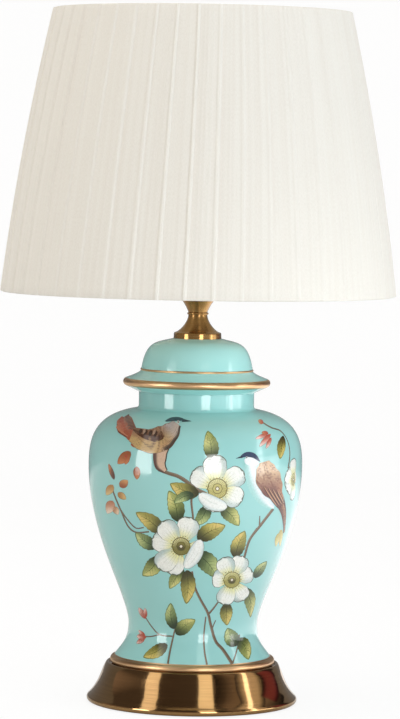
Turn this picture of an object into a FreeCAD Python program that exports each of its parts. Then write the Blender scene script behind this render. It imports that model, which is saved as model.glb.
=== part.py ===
import FreeCAD, Part
import math
import os

from FreeCAD import Vector

os.makedirs("parts", exist_ok=True)

# Ginger jar table lamp with a pleated shade. All sizes are in millimetres.
# The origin is the centre of the felt pad's underside, +Z is up and the front faces -Y.
# Most pieces are turned about the Z axis, so they are drawn as half sections in radius and height.

# Clearances
slip = 0.3            # between pieces that lie side by side or face to face on different bodies
tube_clearance = 0.4  # round the threaded tube, in the pieces that it passes through
thread_fit = 0.06     # between the threaded tube and the pieces screwed onto it
running_fit = 0.06    # round the switch shaft

# Felt pad and board that close the plinth
felt_thickness = 2.0
board_thickness = 2.0

# Spun metal plinth
plinth_radius = 95.7
plinth_height = 36.5
plinth_sheet = 1.5
curl_radius = 3.4         # of the rolled lower edge
curl_above_floor = 0.5
curl_turn = 206.0         # degrees that the sheet rolls round, past the end of the skirt
crest_radius = 1.6        # of the bead round the jar's seat
seat_depth = 2.0          # of the jar's seat below the bead
seat_radius = 75.4
skirt_start_angle = 41.6  # degrees round the bead where the side leaves it
skirt_end_angle = 46.6    # degrees round the rolled edge where the side meets it
skirt_start_pull = 6.4    # how far the side holds its direction at each end
skirt_end_pull = 15.0

# Insulating bushing at the back, where the flex comes out
bushing_height = 18.0
bushing_bore = 7.0
bushing_wall = 1.5
bushing_lip = 6.5         # radius of its lips, inside and outside the sheet
bushing_lip_thickness = 1.4
bushing_length = 16.0
bushing_setback = 1.7     # of its outer end, inside the plinth's widest radius

# Threaded tube and its nuts
tube_radius = 5.0
tube_bore = 7.6
tube_below_nut = 2.5
tube_above_cap = 1.0        # of the tube's end above the floor of the lampholder's cap
nut_across_flats = 14.0
nut_height = 5.0
upper_nut_height = 4.0
washer_radius = 22.0
washer_thickness = 2.0
lock_washer_radius = 9.0
lock_washer_thickness = 1.5
lock_washer_teeth = 10
lock_gullet_radius = 1.2    # of the gaps between its teeth

# Ceramic jar
foot_gasket_thickness = 0.8
jar_wall = 5.5
foot_bead = 3.6           # radius of the moulded roll round the foot
foot_clearance = 0.6      # of the foot inside the plinth's bead
foot_ring = 13.8          # width of the ring that the jar stands on, with its bead
foot_recess = 5.7
jar_floor = 7.0
waist_radius = 58.6
waist_height = 36.2       # above the jar's foot
belly_radius = 97.0
belly_height = 181.7
shoulder_radius = 55.0    # where the shoulder turns up into the neck
shoulder_height = 232.3
neck_radius = 52.3
neck_height = 250.7
neck_rim = 1.8            # radius of the rounded rim
foot_angle = 56.4         # degrees above level at which the side leaves the foot bead
shoulder_angle = 9.0      # degrees at which the shoulder falls away from the neck
foot_pull = 9.7           # how far the side holds its direction at the foot, and so on up to the shoulder
waist_pull_down = 16.3
waist_pull_up = 25.0
belly_pull_down = 65.2
belly_pull_up = 19.6
shoulder_pull = 40.4

# Ceramic lid
lid_gasket_thickness = 0.6
lid_wall = 5.0
lid_ring_depth = 10.0     # of the ring that drops into the jar's neck
lid_skirt_depth = 3.4     # of the flange over the outside of the neck
lid_flange_radius = 66.8
lid_bead = 3.6            # radius of the flange's rounded edge
lid_bead_height = 5.2     # centre of that edge above the lid's seat
dome_radius = 50.5
dome_foot = 17.6          # where the dome's wall starts, above the lid's seat
lid_rib = 1.2             # radius of the gilded rib round the dome's foot
lid_rib_inset = 0.4       # of the rib's centre from the dome's wall
lid_height = 44.9
plateau_radius = 22.0     # of the flat that the brass neck stands on
lid_ring_clearance = 0.6  # between the ring and the inside of the jar's neck
lid_skirt_clearance = 0.9    # between the flange and the outside of the jar's neck
flange_under_angle = -67.0   # degrees round the flange's edge where its round starts and ends
flange_over_angle = 69.0
rib_under_angle = -50.0    # the same for the rib
rib_over_angle = 60.0
# Inner poles of the shoulder between the flange and the rib, and of the dome's own curve,
# all as steps outwards and upwards from the curve's nearest end.
shoulder_low_pull = (-7.2, 2.6)
shoulder_high_pull = (1.2, -2.0)
dome_foot_pull = (-4.1, 25.5)
dome_top_pull = (14.4, -4.1)

# Turned brass neck in two pieces, with a ring at the waist
brass_wall = 2.2
neck_foot_radius = 21.7
neck_foot_band = 4.2      # height of the foot's upright edge
neck_foot_taper = 0.2     # that it leans in over its height
neck_foot_step = 1.3      # round of that edge
neck_waist_radius = 8.6
neck_foot_height = 21.4
cove_start_pull = (-4.7, 1.3)    # inner poles of the foot's sweep, as steps from its ends
cove_end_pull = (0.0, -5.8)
waist_ring_height = 2.2
cup_radius = 17.6
cup_height = 19.4         # of the flared cup above the ring
cup_rim = 0.9             # bead on the cup's edge
cup_straight = 3.9        # height of the cup's edge above the flare
flare_start_pull = (3.4, 8.8)    # inner poles of the flare, as steps from its ends
flare_end_pull = (-0.9, -2.5)
cup_well_radius = 11.5
cup_well_depth = 9.0

# Lampholder for an E27 bulb
cap_neck_radius = 8.5
cap_radius = 20.5
cap_wall = 1.8
cap_height = 18.0         # above its floor
cap_step = 4.5            # depth of the wider mouth that seats the insert
cap_ledge = 1.5           # height of the ledge below it
insert_flange = 6.5
insert_boss_radius = 16.3
insert_boss_height = 5.0
skirt_step = 2.0          # depth of the skirt's wider mouth
skirt_flange_radius = 22.5
skirt_flange = 2.5
skirt_thread_radius = 19.7
skirt_wall = 2.9
skirt_height = 36.0
skirt_mouth_radius = 15.6
skirt_lip = 2.0
liner_radius = 13.9       # outside of the screwed liner
liner_sheet = 0.45
liner_height = 24.0
contact_width = 6.0
contact_sheet = 0.5
contact_rise = 2.0
rivet_radius = 1.2
terminal_radius = 2.6
terminal_height = 2.4
terminal_spread = 11.0    # of each terminal screw from the axis

# Rotary switch in the side of the lampholder
switch_height = 8.5       # of the switch's axis above the cap's floor
switch_length = 9.0
switch_width = 12.0
switch_depth = 9.0
switch_edge = 1.0         # rounding of its long edges
bush_radius = 3.6
bush_reach = 5.0          # of the bush beyond the holder's cap
switch_nut_radius = 5.6
switch_nut_thickness = 2.0
shaft_radius = 2.0
shaft_inside = 5.0        # of the shaft in the switch, behind its bush
knob_radius = 5.8
knob_length = 12.0
knob_socket = 9.0
knob_edge = 1.2           # rounding of its outer edge
knob_flutes = 14
flute_radius = 0.6

# Threaded ring that clamps the shade's fitter
ring_clearance = 0.3      # over the thread
ring_radius = 27.5
ring_height = 8.0
ring_plate = 2.0
ring_collar_radius = 25.0
ring_notches = 16
notch_radius = 2.2

# Frame of the shade
fitter_bore_clearance = 0.6
fitter_radius = 31.0
fitter_sheet = 1.5
arm_radius = 1.8
arm_count = 3
arm_first_angle = 90.0    # degrees from +X: one arm points to the back
wire_radius = 2.0

# Shade
shade_below_holder = 23.3    # of the shade's lower edge below the fitter's seat
shade_height = 256.0
shade_bottom_radius = 180.5
shade_top_radius = 136.9
shade_belly = 3.4            # how far the sides swell at mid height
liner_thickness = 0.8
cloth_thickness = 0.8
pleats = 44
pleat_depth = 2.0
pleat_ground = 1.0           # cloth behind the valleys of the pleats
pleat_drop = 0.24            # share of the pitch in which a pleat falls back from its fold
pleat_turn = -1.5            # degrees by which the whole set of pleats is turned about the axis
pleat_wander = 0.9           # degrees by which the folds drift from even spacing
edge_round = 1.5             # how far the pleats draw in where they turn over the edges
edge_height = 2.6
edge_pleat_depth = 0.8
side_levels = 5
hem_width = 6.5              # of the cloth turned in under the rings

# Light bulb, 60 mm wide
bulb_length = 105.0
bulb_radius = 30.0
bulb_dome_height = 36.0
bulb_cap_radius = 13.1
bulb_cap_height = 22.4
bulb_insulator_height = 3.4
bulb_tip_height = 1.5
bulb_tip_radius = 4.5
bulb_throat_radius = 14.6
bulb_shell = 1.0
bulb_cap_chamfer = 1.0
bulb_cap_chamfer_height = 1.5
housing_inset = 0.6          # of the housing's top edge, inside the globe
housing_start_pull = (1.5, 16.0)    # inner poles of the housing's side, as steps from its ends
housing_end_pull = (-1.9, -22.0)
quarter_round = 0.5523       # share of the radius that makes a four-pole curve follow a quarter circle

# Places and heights of the stack, from the floor up
curl_z = curl_above_floor + curl_radius
curl_centre = plinth_radius - curl_radius
crest_centre = (seat_radius + crest_radius, plinth_height - crest_radius)
seat_z = plinth_height - seat_depth
jar_z = seat_z + foot_gasket_thickness
foot_radius = seat_radius - foot_clearance
foot_ring_inner = foot_radius - foot_ring
jar_rim_z = jar_z + neck_height
lid_z = jar_rim_z + lid_gasket_thickness
lid_top = lid_z + lid_height
neck_ring_z = lid_top + neck_foot_height
cup_z = neck_ring_z + waist_ring_height
cup_top = cup_z + cup_height
well_z = cup_top - cup_well_depth
upper_nut_top = well_z + lock_washer_thickness + upper_nut_height
cap_z = upper_nut_top + slip
cap_floor_z = cup_top + slip
cap_top = cap_floor_z + cap_height
insert_z = cap_top - cap_step
insert_flange_top = insert_z + insert_flange
insert_top = insert_flange_top + insert_boss_height
fitter_seat_z = cap_top + skirt_flange
skirt_top = cap_top + skirt_height
fitter_z = fitter_seat_z + slip
ring_z = fitter_z + fitter_sheet + slip
switch_z = cap_floor_z + switch_height
contact_top = insert_top + contact_rise
bulb_z = contact_top + slip
base_washer_z = seat_z - plinth_sheet - washer_thickness
base_lock_z = base_washer_z - lock_washer_thickness
base_nut_z = base_lock_z - nut_height
tube_z = base_nut_z - tube_below_nut
tube_top = cap_floor_z + cap_wall + tube_above_cap
shade_z = fitter_seat_z - shade_below_holder
shade_top = shade_z + shade_height
bottom_wire_z = shade_z + cloth_thickness + slip + wire_radius
top_wire_z = shade_top - cloth_thickness - slip - wire_radius
insulator_z = bulb_z + bulb_tip_height
bulb_cap_z = insulator_z + bulb_insulator_height
bulb_housing_z = bulb_cap_z + bulb_cap_height
bulb_top = bulb_z + bulb_length
bulb_dome_z = bulb_top - bulb_dome_height
tube_hole = tube_radius + tube_clearance


# Tools for drawing

def point(r, z):
    return Vector(r, 0, z)


def toward(angle):
    """Radius and height of a unit step at an angle in degrees above the horizontal."""
    return math.cos(math.radians(angle)), math.sin(math.radians(angle))


def around(radius, angle, z):
    """The point at a radius and an angle in degrees from +X."""
    c, s = toward(angle)
    return Vector(radius * c, radius * s, z)


class Section:
    """Half section in radius and height, drawn from point to point and turned about the Z axis."""

    def __init__(self, r, z):
        self.start = (r, z)
        self.here = (r, z)
        self.edges = []

    def line(self, r, z):
        if math.dist(self.here, (r, z)) > 1e-6:
            self.edges.append(Part.LineSegment(point(*self.here), point(r, z)).toShape())
            self.here = (r, z)
        return self

    def lines(self, *places):
        for r, z in places:
            self.line(r, z)
        return self

    def arc(self, r, z, radius, first, last):
        """A line to the start of an arc about (r, z), then the arc between two angles in degrees."""
        ends = []
        for angle in (first, (first + last) / 2, last):
            c, s = toward(angle)
            ends.append((r + radius * c, z + radius * s))
        self.line(*ends[0])
        self.edges.append(Part.Arc(point(*self.here), point(*ends[1]), point(*ends[2])).toShape())
        self.here = ends[2]
        return self

    def curve(self, poles):
        """A line to the first pole, then the curve through to the last one."""
        self.line(*poles[0])
        bezier = Part.BezierCurve()
        bezier.setPoles([point(*pole) for pole in poles])
        self.edges.append(bezier.toShape())
        self.here = poles[-1]
        return self

    def solid(self):
        self.line(*self.start)
        face = Part.Face(Part.Wire(self.edges))
        return face.revolve(Vector(0, 0, 0), Vector(0, 0, 1), 360)


def shifted(poles, distance):
    """The poles of a four-pole curve moved sideways, to the left of its direction."""
    moved = []
    for a, b in ((poles[0], poles[1]), (poles[2], poles[3])):
        length = math.dist(a, b)
        dr = (a[1] - b[1]) / length * distance
        dz = (b[0] - a[0]) / length * distance
        moved += [(a[0] + dr, a[1] + dz), (b[0] + dr, b[1] + dz)]
    return moved


def disc(radius, z, height, hole=0.0):
    """A flat disc or washer standing on height z."""
    solid = Part.makeCylinder(radius, height, Vector(0, 0, z))
    if hole:
        solid = solid.cut(Part.makeCylinder(hole, height, Vector(0, 0, z)))
    return solid


def rod(start, end, radius):
    """A round bar between two points."""
    along = end - start
    return Part.makeCylinder(radius, along.Length, start, along)


def hexagon_nut(z, height):
    corner = nut_across_flats / math.sqrt(3)
    corners = [around(corner, 60 * n, z) for n in range(7)]
    prism = Part.Face(Part.makePolygon(corners)).extrude(Vector(0, 0, height))
    chamfer = Section(0, z).line(corner - height / 4, z).line(corner + height / 4, z + height / 2)
    chamfer.line(corner - height / 4, z + height).line(0, z + height)
    return prism.common(chamfer.solid()).cut(disc(tube_radius + thread_fit, z, height))


# Plinth

def skirt_curve(inset=0.0):
    """The plinth's side, from the crest bead to the rolled edge, as four poles."""
    c0, s0 = toward(skirt_start_angle)
    c1, s1 = toward(skirt_end_angle)
    start = (crest_centre[0] + crest_radius * c0, crest_centre[1] + crest_radius * s0)
    end = (curl_centre + curl_radius * c1, curl_z + curl_radius * s1)
    poles = [
        start,
        (start[0] + skirt_start_pull * s0, start[1] - skirt_start_pull * c0),
        (end[0] - skirt_end_pull * s1, end[1] + skirt_end_pull * c1),
        end,
    ]
    return shifted(poles, -inset)


def bushing_hole_radius():
    return bushing_bore / 2 + bushing_wall


def across_plinth(radius):
    """A bar through the back of the plinth, on the bushing's axis."""
    start = Vector(0, seat_radius - bushing_length, bushing_height)
    end = Vector(0, plinth_radius + bushing_length, bushing_height)
    return rod(start, end, radius)


def base_plinth():
    inner = skirt_curve(plinth_sheet)
    curl_end = skirt_end_angle - curl_turn
    section = Section(tube_hole, seat_z)
    section.line(seat_radius, seat_z)
    section.arc(*crest_centre, crest_radius, 180, skirt_start_angle)
    section.curve(skirt_curve())
    section.arc(curl_centre, curl_z, curl_radius, skirt_end_angle, curl_end)
    section.arc(curl_centre, curl_z, curl_radius - plinth_sheet, curl_end, skirt_end_angle)
    section.curve(inner[::-1])
    section.line(seat_radius + plinth_sheet, seat_z - plinth_sheet)
    section.line(tube_hole, seat_z - plinth_sheet)
    return section.solid().cut(across_plinth(bushing_hole_radius() + slip))


def skirt_layer(outside, inside):
    """A layer that follows the plinth's side, between two distances outside and inside its surface."""
    near = skirt_curve(-outside)
    far = skirt_curve(inside)
    return Section(*near[0]).curve(near).curve(far[::-1]).solid()


def cord_bushing():
    lip_bar = across_plinth(bushing_lip)
    outer_lip = skirt_layer(bushing_lip_thickness, 0).common(lip_bar)
    inner_lip = skirt_layer(0, plinth_sheet + bushing_lip_thickness)
    inner_lip = inner_lip.cut(skirt_layer(0, plinth_sheet)).common(lip_bar)
    end = Vector(0, plinth_radius - bushing_setback, bushing_height)
    start = end - Vector(0, bushing_length, 0)
    body = rod(start, end, bushing_hole_radius())
    lips = [lip for part in (outer_lip, inner_lip) for lip in part.Solids if lip.BoundBox.YMin > 0]
    return body.fuse(lips).cut(rod(start, end, bushing_bore / 2)).removeSplitter()


def bottom_board():
    return disc(curl_centre - curl_radius - slip, felt_thickness, board_thickness)


def felt_pad():
    return disc(curl_centre - curl_radius - slip, 0, felt_thickness)


# Threaded tube and its fasteners

def threaded_tube():
    return disc(tube_radius, tube_z, tube_top - tube_z, tube_bore / 2)


def base_washer():
    return disc(washer_radius, base_washer_z, washer_thickness, tube_hole)


def toothed_washer(z):
    """A lock washer with teeth round its edge."""
    washer = disc(lock_washer_radius, z, lock_washer_thickness, tube_hole)
    for n in range(lock_washer_teeth):
        centre = around(lock_washer_radius, 360 / lock_washer_teeth * n, z)
        washer = washer.cut(Part.makeCylinder(lock_gullet_radius, lock_washer_thickness, centre))
    return washer


def base_lock_washer():
    return toothed_washer(base_lock_z)


def base_nut():
    return hexagon_nut(base_nut_z, nut_height)


# Jar

def jar_curves(inset=0.0):
    """The jar's side from the foot bead to the shoulder, as three curves of four poles."""
    foot = (foot_radius - foot_bead, jar_z + 2 * foot_bead)
    waist = (waist_radius, jar_z + waist_height)
    belly = (belly_radius, jar_z + belly_height)
    shoulder = (shoulder_radius, jar_z + shoulder_height)
    c0, s0 = toward(foot_angle)
    c1, s1 = toward(shoulder_angle)
    lower = [
        foot,
        (foot[0] - foot_pull * c0, foot[1] + foot_pull * s0),
        (waist[0], waist[1] - waist_pull_down),
        waist,
    ]
    flank = [
        waist,
        (waist[0], waist[1] + waist_pull_up),
        (belly[0], belly[1] - belly_pull_down),
        belly,
    ]
    upper = [
        belly,
        (belly[0], belly[1] + belly_pull_up),
        (shoulder[0] + shoulder_pull * c1, shoulder[1] - shoulder_pull * s1),
        shoulder,
    ]
    return [shifted(poles, inset) for poles in (lower, flank, upper)]


def neck_cove(section, radius, corner):
    """Turns the section from the shoulder's slope, at corner, up into the neck's wall."""
    c, s = toward(shoulder_angle)
    cove = (corner[0] - radius) / (1 - s)
    section.arc(radius + cove, corner[1] + cove * c, cove, 270 - shoulder_angle, 180)


def jar_body():
    outside = Section(foot_ring_inner, jar_z)
    outside.arc(foot_radius - foot_bead, jar_z + foot_bead, foot_bead, -90, 90)
    for poles in jar_curves():
        outside.curve(poles)
    neck_cove(outside, neck_radius, outside.here)
    outside.arc(neck_radius - neck_rim, jar_rim_z - neck_rim, neck_rim, 0, 90)
    outside.line(0, jar_rim_z)
    outside.lines((0, jar_z + foot_recess), (foot_ring_inner, jar_z + foot_recess))
    floor_z = jar_z + foot_recess + jar_floor
    curves = jar_curves(jar_wall)
    hollow = Section(0, curves[0][0][1])
    for poles in curves:
        hollow.curve(poles)
    hollow.line(neck_radius - jar_wall, curves[2][3][1] + neck_rim)
    hollow.lines((neck_radius - jar_wall, jar_rim_z), (0, jar_rim_z))
    hollow = hollow.solid().cut(disc(belly_radius, jar_z, floor_z - jar_z))
    hole = disc(tube_hole, jar_z, floor_z - jar_z)
    return outside.solid().cut(hollow).cut(hole)


def foot_gasket():
    outer = foot_radius - foot_bead
    return disc(outer, seat_z, foot_gasket_thickness, foot_ring_inner)


# Lid

def dome_curve(inset=0.0):
    """The lid's dome from its wall to its flat top, as four poles."""
    poles = [
        (dome_radius, lid_z + dome_foot),
        (dome_radius + dome_foot_pull[0], lid_z + dome_foot + dome_foot_pull[1]),
        (plateau_radius + dome_top_pull[0], lid_top + dome_top_pull[1]),
        (plateau_radius, lid_top),
    ]
    return shifted(poles, inset)


def jar_lid():
    ring_outer = neck_radius - jar_wall - lid_ring_clearance
    skirt_inner = neck_radius + lid_skirt_clearance
    bead_centre = (lid_flange_radius - lid_bead, lid_z + lid_bead_height)
    inner = dome_curve(lid_wall)
    section = Section(ring_outer - lid_wall, lid_z - lid_ring_depth)
    section.lines((ring_outer, lid_z - lid_ring_depth), (ring_outer, lid_z), (skirt_inner, lid_z))
    section.line(skirt_inner, lid_z - lid_skirt_depth)
    section.arc(*bead_centre, lid_bead, flange_under_angle, flange_over_angle)
    c, s = toward(flange_over_angle)
    edge = (bead_centre[0] + lid_bead * c, bead_centre[1] + lid_bead * s)
    rib_centre = (dome_radius - lid_rib_inset, lid_z + dome_foot - lid_rib)
    c, s = toward(rib_under_angle)
    rib_foot = (rib_centre[0] + lid_rib * c, rib_centre[1] + lid_rib * s)
    section.curve([
        edge,
        (edge[0] + shoulder_low_pull[0], edge[1] + shoulder_low_pull[1]),
        (rib_foot[0] + shoulder_high_pull[0], rib_foot[1] + shoulder_high_pull[1]),
        rib_foot,
    ])
    section.arc(*rib_centre, lid_rib, rib_under_angle, rib_over_angle)
    section.curve(dome_curve())
    section.lines((tube_hole, lid_top), (tube_hole, lid_top - lid_wall))
    section.curve(inner[::-1])
    section.line(ring_outer - lid_wall, inner[0][1] - lid_wall)
    return section.solid()


def lid_gasket():
    return disc(neck_radius - neck_rim, jar_rim_z, lid_gasket_thickness, neck_radius - jar_wall)


# Brass neck

def cove_curve(inset=0.0):
    """The sweep of the neck's foot in to the waist, as four poles."""
    top = lid_top + neck_foot_band + neck_foot_step
    start = neck_foot_radius - neck_foot_taper - neck_foot_step
    poles = [
        (start, top),
        (start + cove_start_pull[0], top + cove_start_pull[1]),
        (neck_waist_radius + cove_end_pull[0], neck_ring_z + cove_end_pull[1]),
        (neck_waist_radius, neck_ring_z),
    ]
    return shifted(poles, inset)


def neck_foot():
    hollow = cove_curve(brass_wall)
    section = Section(neck_foot_radius - brass_wall, lid_top)
    section.line(neck_foot_radius, lid_top)
    section.line(neck_foot_radius - neck_foot_taper, lid_top + neck_foot_band)
    round_centre = neck_foot_radius - neck_foot_taper - neck_foot_step
    section.arc(round_centre, lid_top + neck_foot_band, neck_foot_step, 0, 90)
    section.curve(cove_curve())
    section.lines((tube_hole, neck_ring_z), (tube_hole, neck_ring_z - neck_foot_height / 2))
    section.line(*hollow[1])
    section.line(neck_foot_radius - brass_wall, lid_top + neck_foot_band - brass_wall)
    return section.solid()


def flare_curve():
    """The flare of the cup from the waist ring to its edge, as four poles."""
    flare_top = cup_top - cup_straight
    return [
        (neck_waist_radius, cup_z),
        (neck_waist_radius + flare_start_pull[0], cup_z + flare_start_pull[1]),
        (cup_radius + flare_end_pull[0], flare_top + flare_end_pull[1]),
        (cup_radius, flare_top),
    ]


def holder_cup():
    ring = waist_ring_height / 2
    section = Section(tube_hole, neck_ring_z)
    section.arc(neck_waist_radius, neck_ring_z + ring, ring, -90, 90)
    section.curve(flare_curve())
    section.arc(cup_radius, cup_top - cup_rim, cup_rim, -90, 90)
    section.lines((cup_well_radius, cup_top), (cup_well_radius, well_z), (tube_hole, well_z))
    return section.solid()


def upper_lock_washer():
    return toothed_washer(well_z)


def upper_nut():
    return hexagon_nut(well_z + lock_washer_thickness, upper_nut_height)


# Lampholder

def holder_cap():
    tapped = tube_radius + thread_fit
    floor_top = cap_floor_z + cap_wall
    bend = 2 * cap_wall
    section = Section(tapped, cap_z)
    section.lines((cap_neck_radius, cap_z), (cap_neck_radius, cap_floor_z))
    section.arc(cap_radius - bend, cap_floor_z + bend, bend, -90, 0)
    inner = cap_radius - cap_wall
    section.lines((cap_radius, cap_top), (inner, cap_top), (inner, insert_z))
    section.lines((inner - cap_wall, insert_z), (inner - cap_wall, insert_z - cap_ledge))
    section.line(inner, insert_z - cap_ledge - cap_wall)
    section.arc(cap_radius - bend, cap_floor_z + bend, bend - cap_wall, 0, -90)
    section.lines((cap_neck_radius, floor_top), (tapped, floor_top))
    axis_start = Vector(cap_radius / 2, 0, switch_z)
    axis_end = Vector(cap_radius * 2, 0, switch_z)
    return section.solid().cut(rod(axis_start, axis_end, bush_radius + slip))


def holder_insert():
    flange = cap_radius - cap_wall - slip
    section = Section(0, insert_z)
    section.lines((flange, insert_z), (flange, insert_flange_top))
    section.lines((insert_boss_radius, insert_flange_top), (insert_boss_radius, insert_top))
    section.line(0, insert_top)
    insert = section.solid()
    for side in (-1, 1):
        well = Vector(0, side * terminal_spread, insert_z)
        insert = insert.cut(Part.makeCylinder(terminal_radius + slip, terminal_height, well))
    return insert


def terminal_screws():
    screws = []
    for side in (-1, 1):
        base = Vector(0, side * terminal_spread, insert_z)
        head = Part.makeCylinder(terminal_radius, terminal_height, base)
        slot = Part.makeBox(2 * terminal_radius, terminal_radius / 3, terminal_height / 3)
        slot.translate(base - Vector(terminal_radius, terminal_radius / 6, 0))
        screws.append(head.cut(slot))
    return Part.makeCompound(screws)


def thread_liner():
    outer = insert_boss_radius - slip
    inner = liner_radius - liner_sheet
    flange_top = insert_top + liner_sheet
    section = Section(inner, insert_top)
    section.lines((outer, insert_top), (outer, flange_top), (liner_radius, flange_top))
    section.lines((liner_radius, insert_top + liner_height), (inner, insert_top + liner_height))
    return section.solid()


def centre_contact():
    """A strip riveted down at one end, which springs up to the middle of the lampholder."""
    reach = liner_radius - liner_sheet - 2 * contact_rise
    low = insert_top
    high = contact_top - contact_sheet
    under = [(-reach, low), (-reach / 2, low), (-contact_width / 3, high), (contact_width / 2, high)]
    outline = [Vector(x, -contact_width / 2, z) for x, z in under]
    outline += [Vector(x, -contact_width / 2, z + contact_sheet) for x, z in reversed(under)]
    strip = Part.Face(Part.makePolygon(outline + outline[:1])).extrude(Vector(0, contact_width, 0))
    rivet = Vector(-3 / 4 * reach, 0, low)
    return strip.fuse(Part.makeCylinder(rivet_radius, 2 * contact_sheet, rivet))


def holder_skirt():
    inner = skirt_thread_radius - skirt_wall
    section = Section(cap_radius - cap_wall, cap_top)
    section.lines((skirt_flange_radius, cap_top), (skirt_flange_radius, fitter_seat_z))
    section.lines((skirt_thread_radius, fitter_seat_z), (skirt_thread_radius, skirt_top))
    section.lines((skirt_mouth_radius, skirt_top), (skirt_mouth_radius, skirt_top - skirt_lip))
    section.lines((inner, skirt_top - skirt_lip), (inner, cap_top + skirt_step))
    section.line(cap_radius - cap_wall, cap_top + skirt_step)
    return section.solid()


# Rotary switch

def bush_end():
    return cap_radius + bush_reach


def switch_case():
    wall_x = math.sqrt((cap_radius - 2 * cap_wall) ** 2 - (switch_width / 2) ** 2) - slip
    corner = Vector(wall_x - switch_length, -switch_width / 2, switch_z - switch_depth / 2)
    case = Part.makeBox(switch_length, switch_width, switch_depth, corner)
    long_edges = [edge for edge in case.Edges if edge.BoundBox.XLength > switch_length / 2]
    case = case.makeFillet(switch_edge, long_edges)
    bush = rod(Vector(wall_x - switch_edge, 0, switch_z), Vector(bush_end(), 0, switch_z), bush_radius)
    start = Vector(bush_end() - bush_reach - shaft_inside - slip, 0, switch_z)
    return case.fuse(bush).cut(rod(start, Vector(bush_end(), 0, switch_z), shaft_radius + running_fit))


def switch_nut():
    start = Vector(cap_radius + slip / 3, 0, switch_z)
    end = start + Vector(switch_nut_thickness, 0, 0)
    return rod(start, end, switch_nut_radius).cut(rod(start, end, bush_radius + thread_fit))


def knob_start():
    return bush_end() + slip


def switch_shaft():
    start = Vector(bush_end() - bush_reach - shaft_inside, 0, switch_z)
    end = Vector(knob_start() + knob_socket, 0, switch_z)
    return rod(start, end, shaft_radius)


def switch_knob():
    start = Vector(knob_start(), 0, switch_z)
    end = start + Vector(knob_length, 0, 0)
    knob = rod(start, end, knob_radius)
    outer_edges = [edge for edge in knob.Edges if edge.BoundBox.XMin > end.x - knob_edge]
    knob = knob.makeFillet(knob_edge, outer_edges)
    for n in range(knob_flutes):
        c, s = toward(360 / knob_flutes * n)
        offset = Vector(0, knob_radius * c, knob_radius * s)
        knob = knob.cut(rod(start + offset, end + offset, flute_radius))
    return knob.cut(rod(start, start + Vector(knob_socket, 0, 0), shaft_radius))


# Ring and frame of the shade

def shade_ring():
    section = Section(skirt_thread_radius + ring_clearance, ring_z)
    section.lines((ring_radius, ring_z), (ring_radius, ring_z + ring_plate))
    section.lines((ring_collar_radius, ring_z + ring_plate), (ring_collar_radius, ring_z + ring_height))
    section.line(skirt_thread_radius + ring_clearance, ring_z + ring_height)
    ring = section.solid()
    reach = ring_collar_radius + notch_radius / 2
    for n in range(ring_notches):
        centre = around(reach, 360 / ring_notches * n, ring_z + ring_plate)
        ring = ring.cut(Part.makeCylinder(notch_radius, ring_height, centre))
    return ring


def fitter_ring():
    return disc(fitter_radius, fitter_z, fitter_sheet, skirt_thread_radius + fitter_bore_clearance)


def liner_outer(z):
    """Radius of the lining's outside: a straight cone behind the pleats."""
    share = (z - shade_z) / shade_height
    crest = shade_bottom_radius + (shade_top_radius - shade_bottom_radius) * share
    return crest - pleat_depth - pleat_ground - slip


def wire_ring(z):
    """A wire ring that lies against the inside of the lining at a height, and its radius."""
    slant = math.hypot(shade_height, shade_bottom_radius - shade_top_radius) / shade_height
    radius = liner_outer(z) - liner_thickness - (wire_radius + slip) * slant
    return Part.makeTorus(radius, wire_radius, Vector(0, 0, z)), radius


def bottom_ring():
    return wire_ring(bottom_wire_z)[0]


def top_ring():
    return wire_ring(top_wire_z)[0]


def fitter_arms():
    ring, ring_centre = wire_ring(bottom_wire_z)
    arm_z = fitter_z + fitter_sheet / 2
    arms = []
    for n in range(arm_count):
        angle = arm_first_angle + 360 / arm_count * n
        start = around(fitter_radius - arm_radius, angle, arm_z)
        arm = rod(start, around(ring_centre, angle, bottom_wire_z), arm_radius)
        arm = arm.cut(ring).cut(disc(fitter_radius, fitter_z - ring_height, 2 * ring_height))
        arms.append(max(arm.Solids, key=lambda solid: solid.Volume))
    return Part.makeCompound(arms)


# Shade

def shade_liner():
    low = shade_z + cloth_thickness + slip
    high = shade_top - cloth_thickness - slip
    section = Section(liner_outer(low) - liner_thickness, low)
    section.lines((liner_outer(low), low), (liner_outer(high), high))
    section.line(liner_outer(high) - liner_thickness, high)
    return section.solid()


def pleat_angle(n):
    """Angle of the valley before pleat n, in degrees, with folds that drift from even spacing."""
    even = 360 / pleats * n
    turn = math.radians(even)
    return even + pleat_turn + pleat_wander * (math.sin(2 * turn + 1) + math.sin(6 * turn)) / 2


def pleat_outline(z, crest, depth):
    """The knife pleats at one height: each climbs slowly to its fold, then drops to the next valley."""
    corners = []
    for n in range(pleats):
        valley = pleat_angle(n)
        fold = pleat_angle(n + 1) - pleat_drop * 360 / pleats
        corners += [around(crest - depth, valley, z), around(crest, fold, z)]
    return Part.makePolygon(corners + corners[:1])


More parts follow.
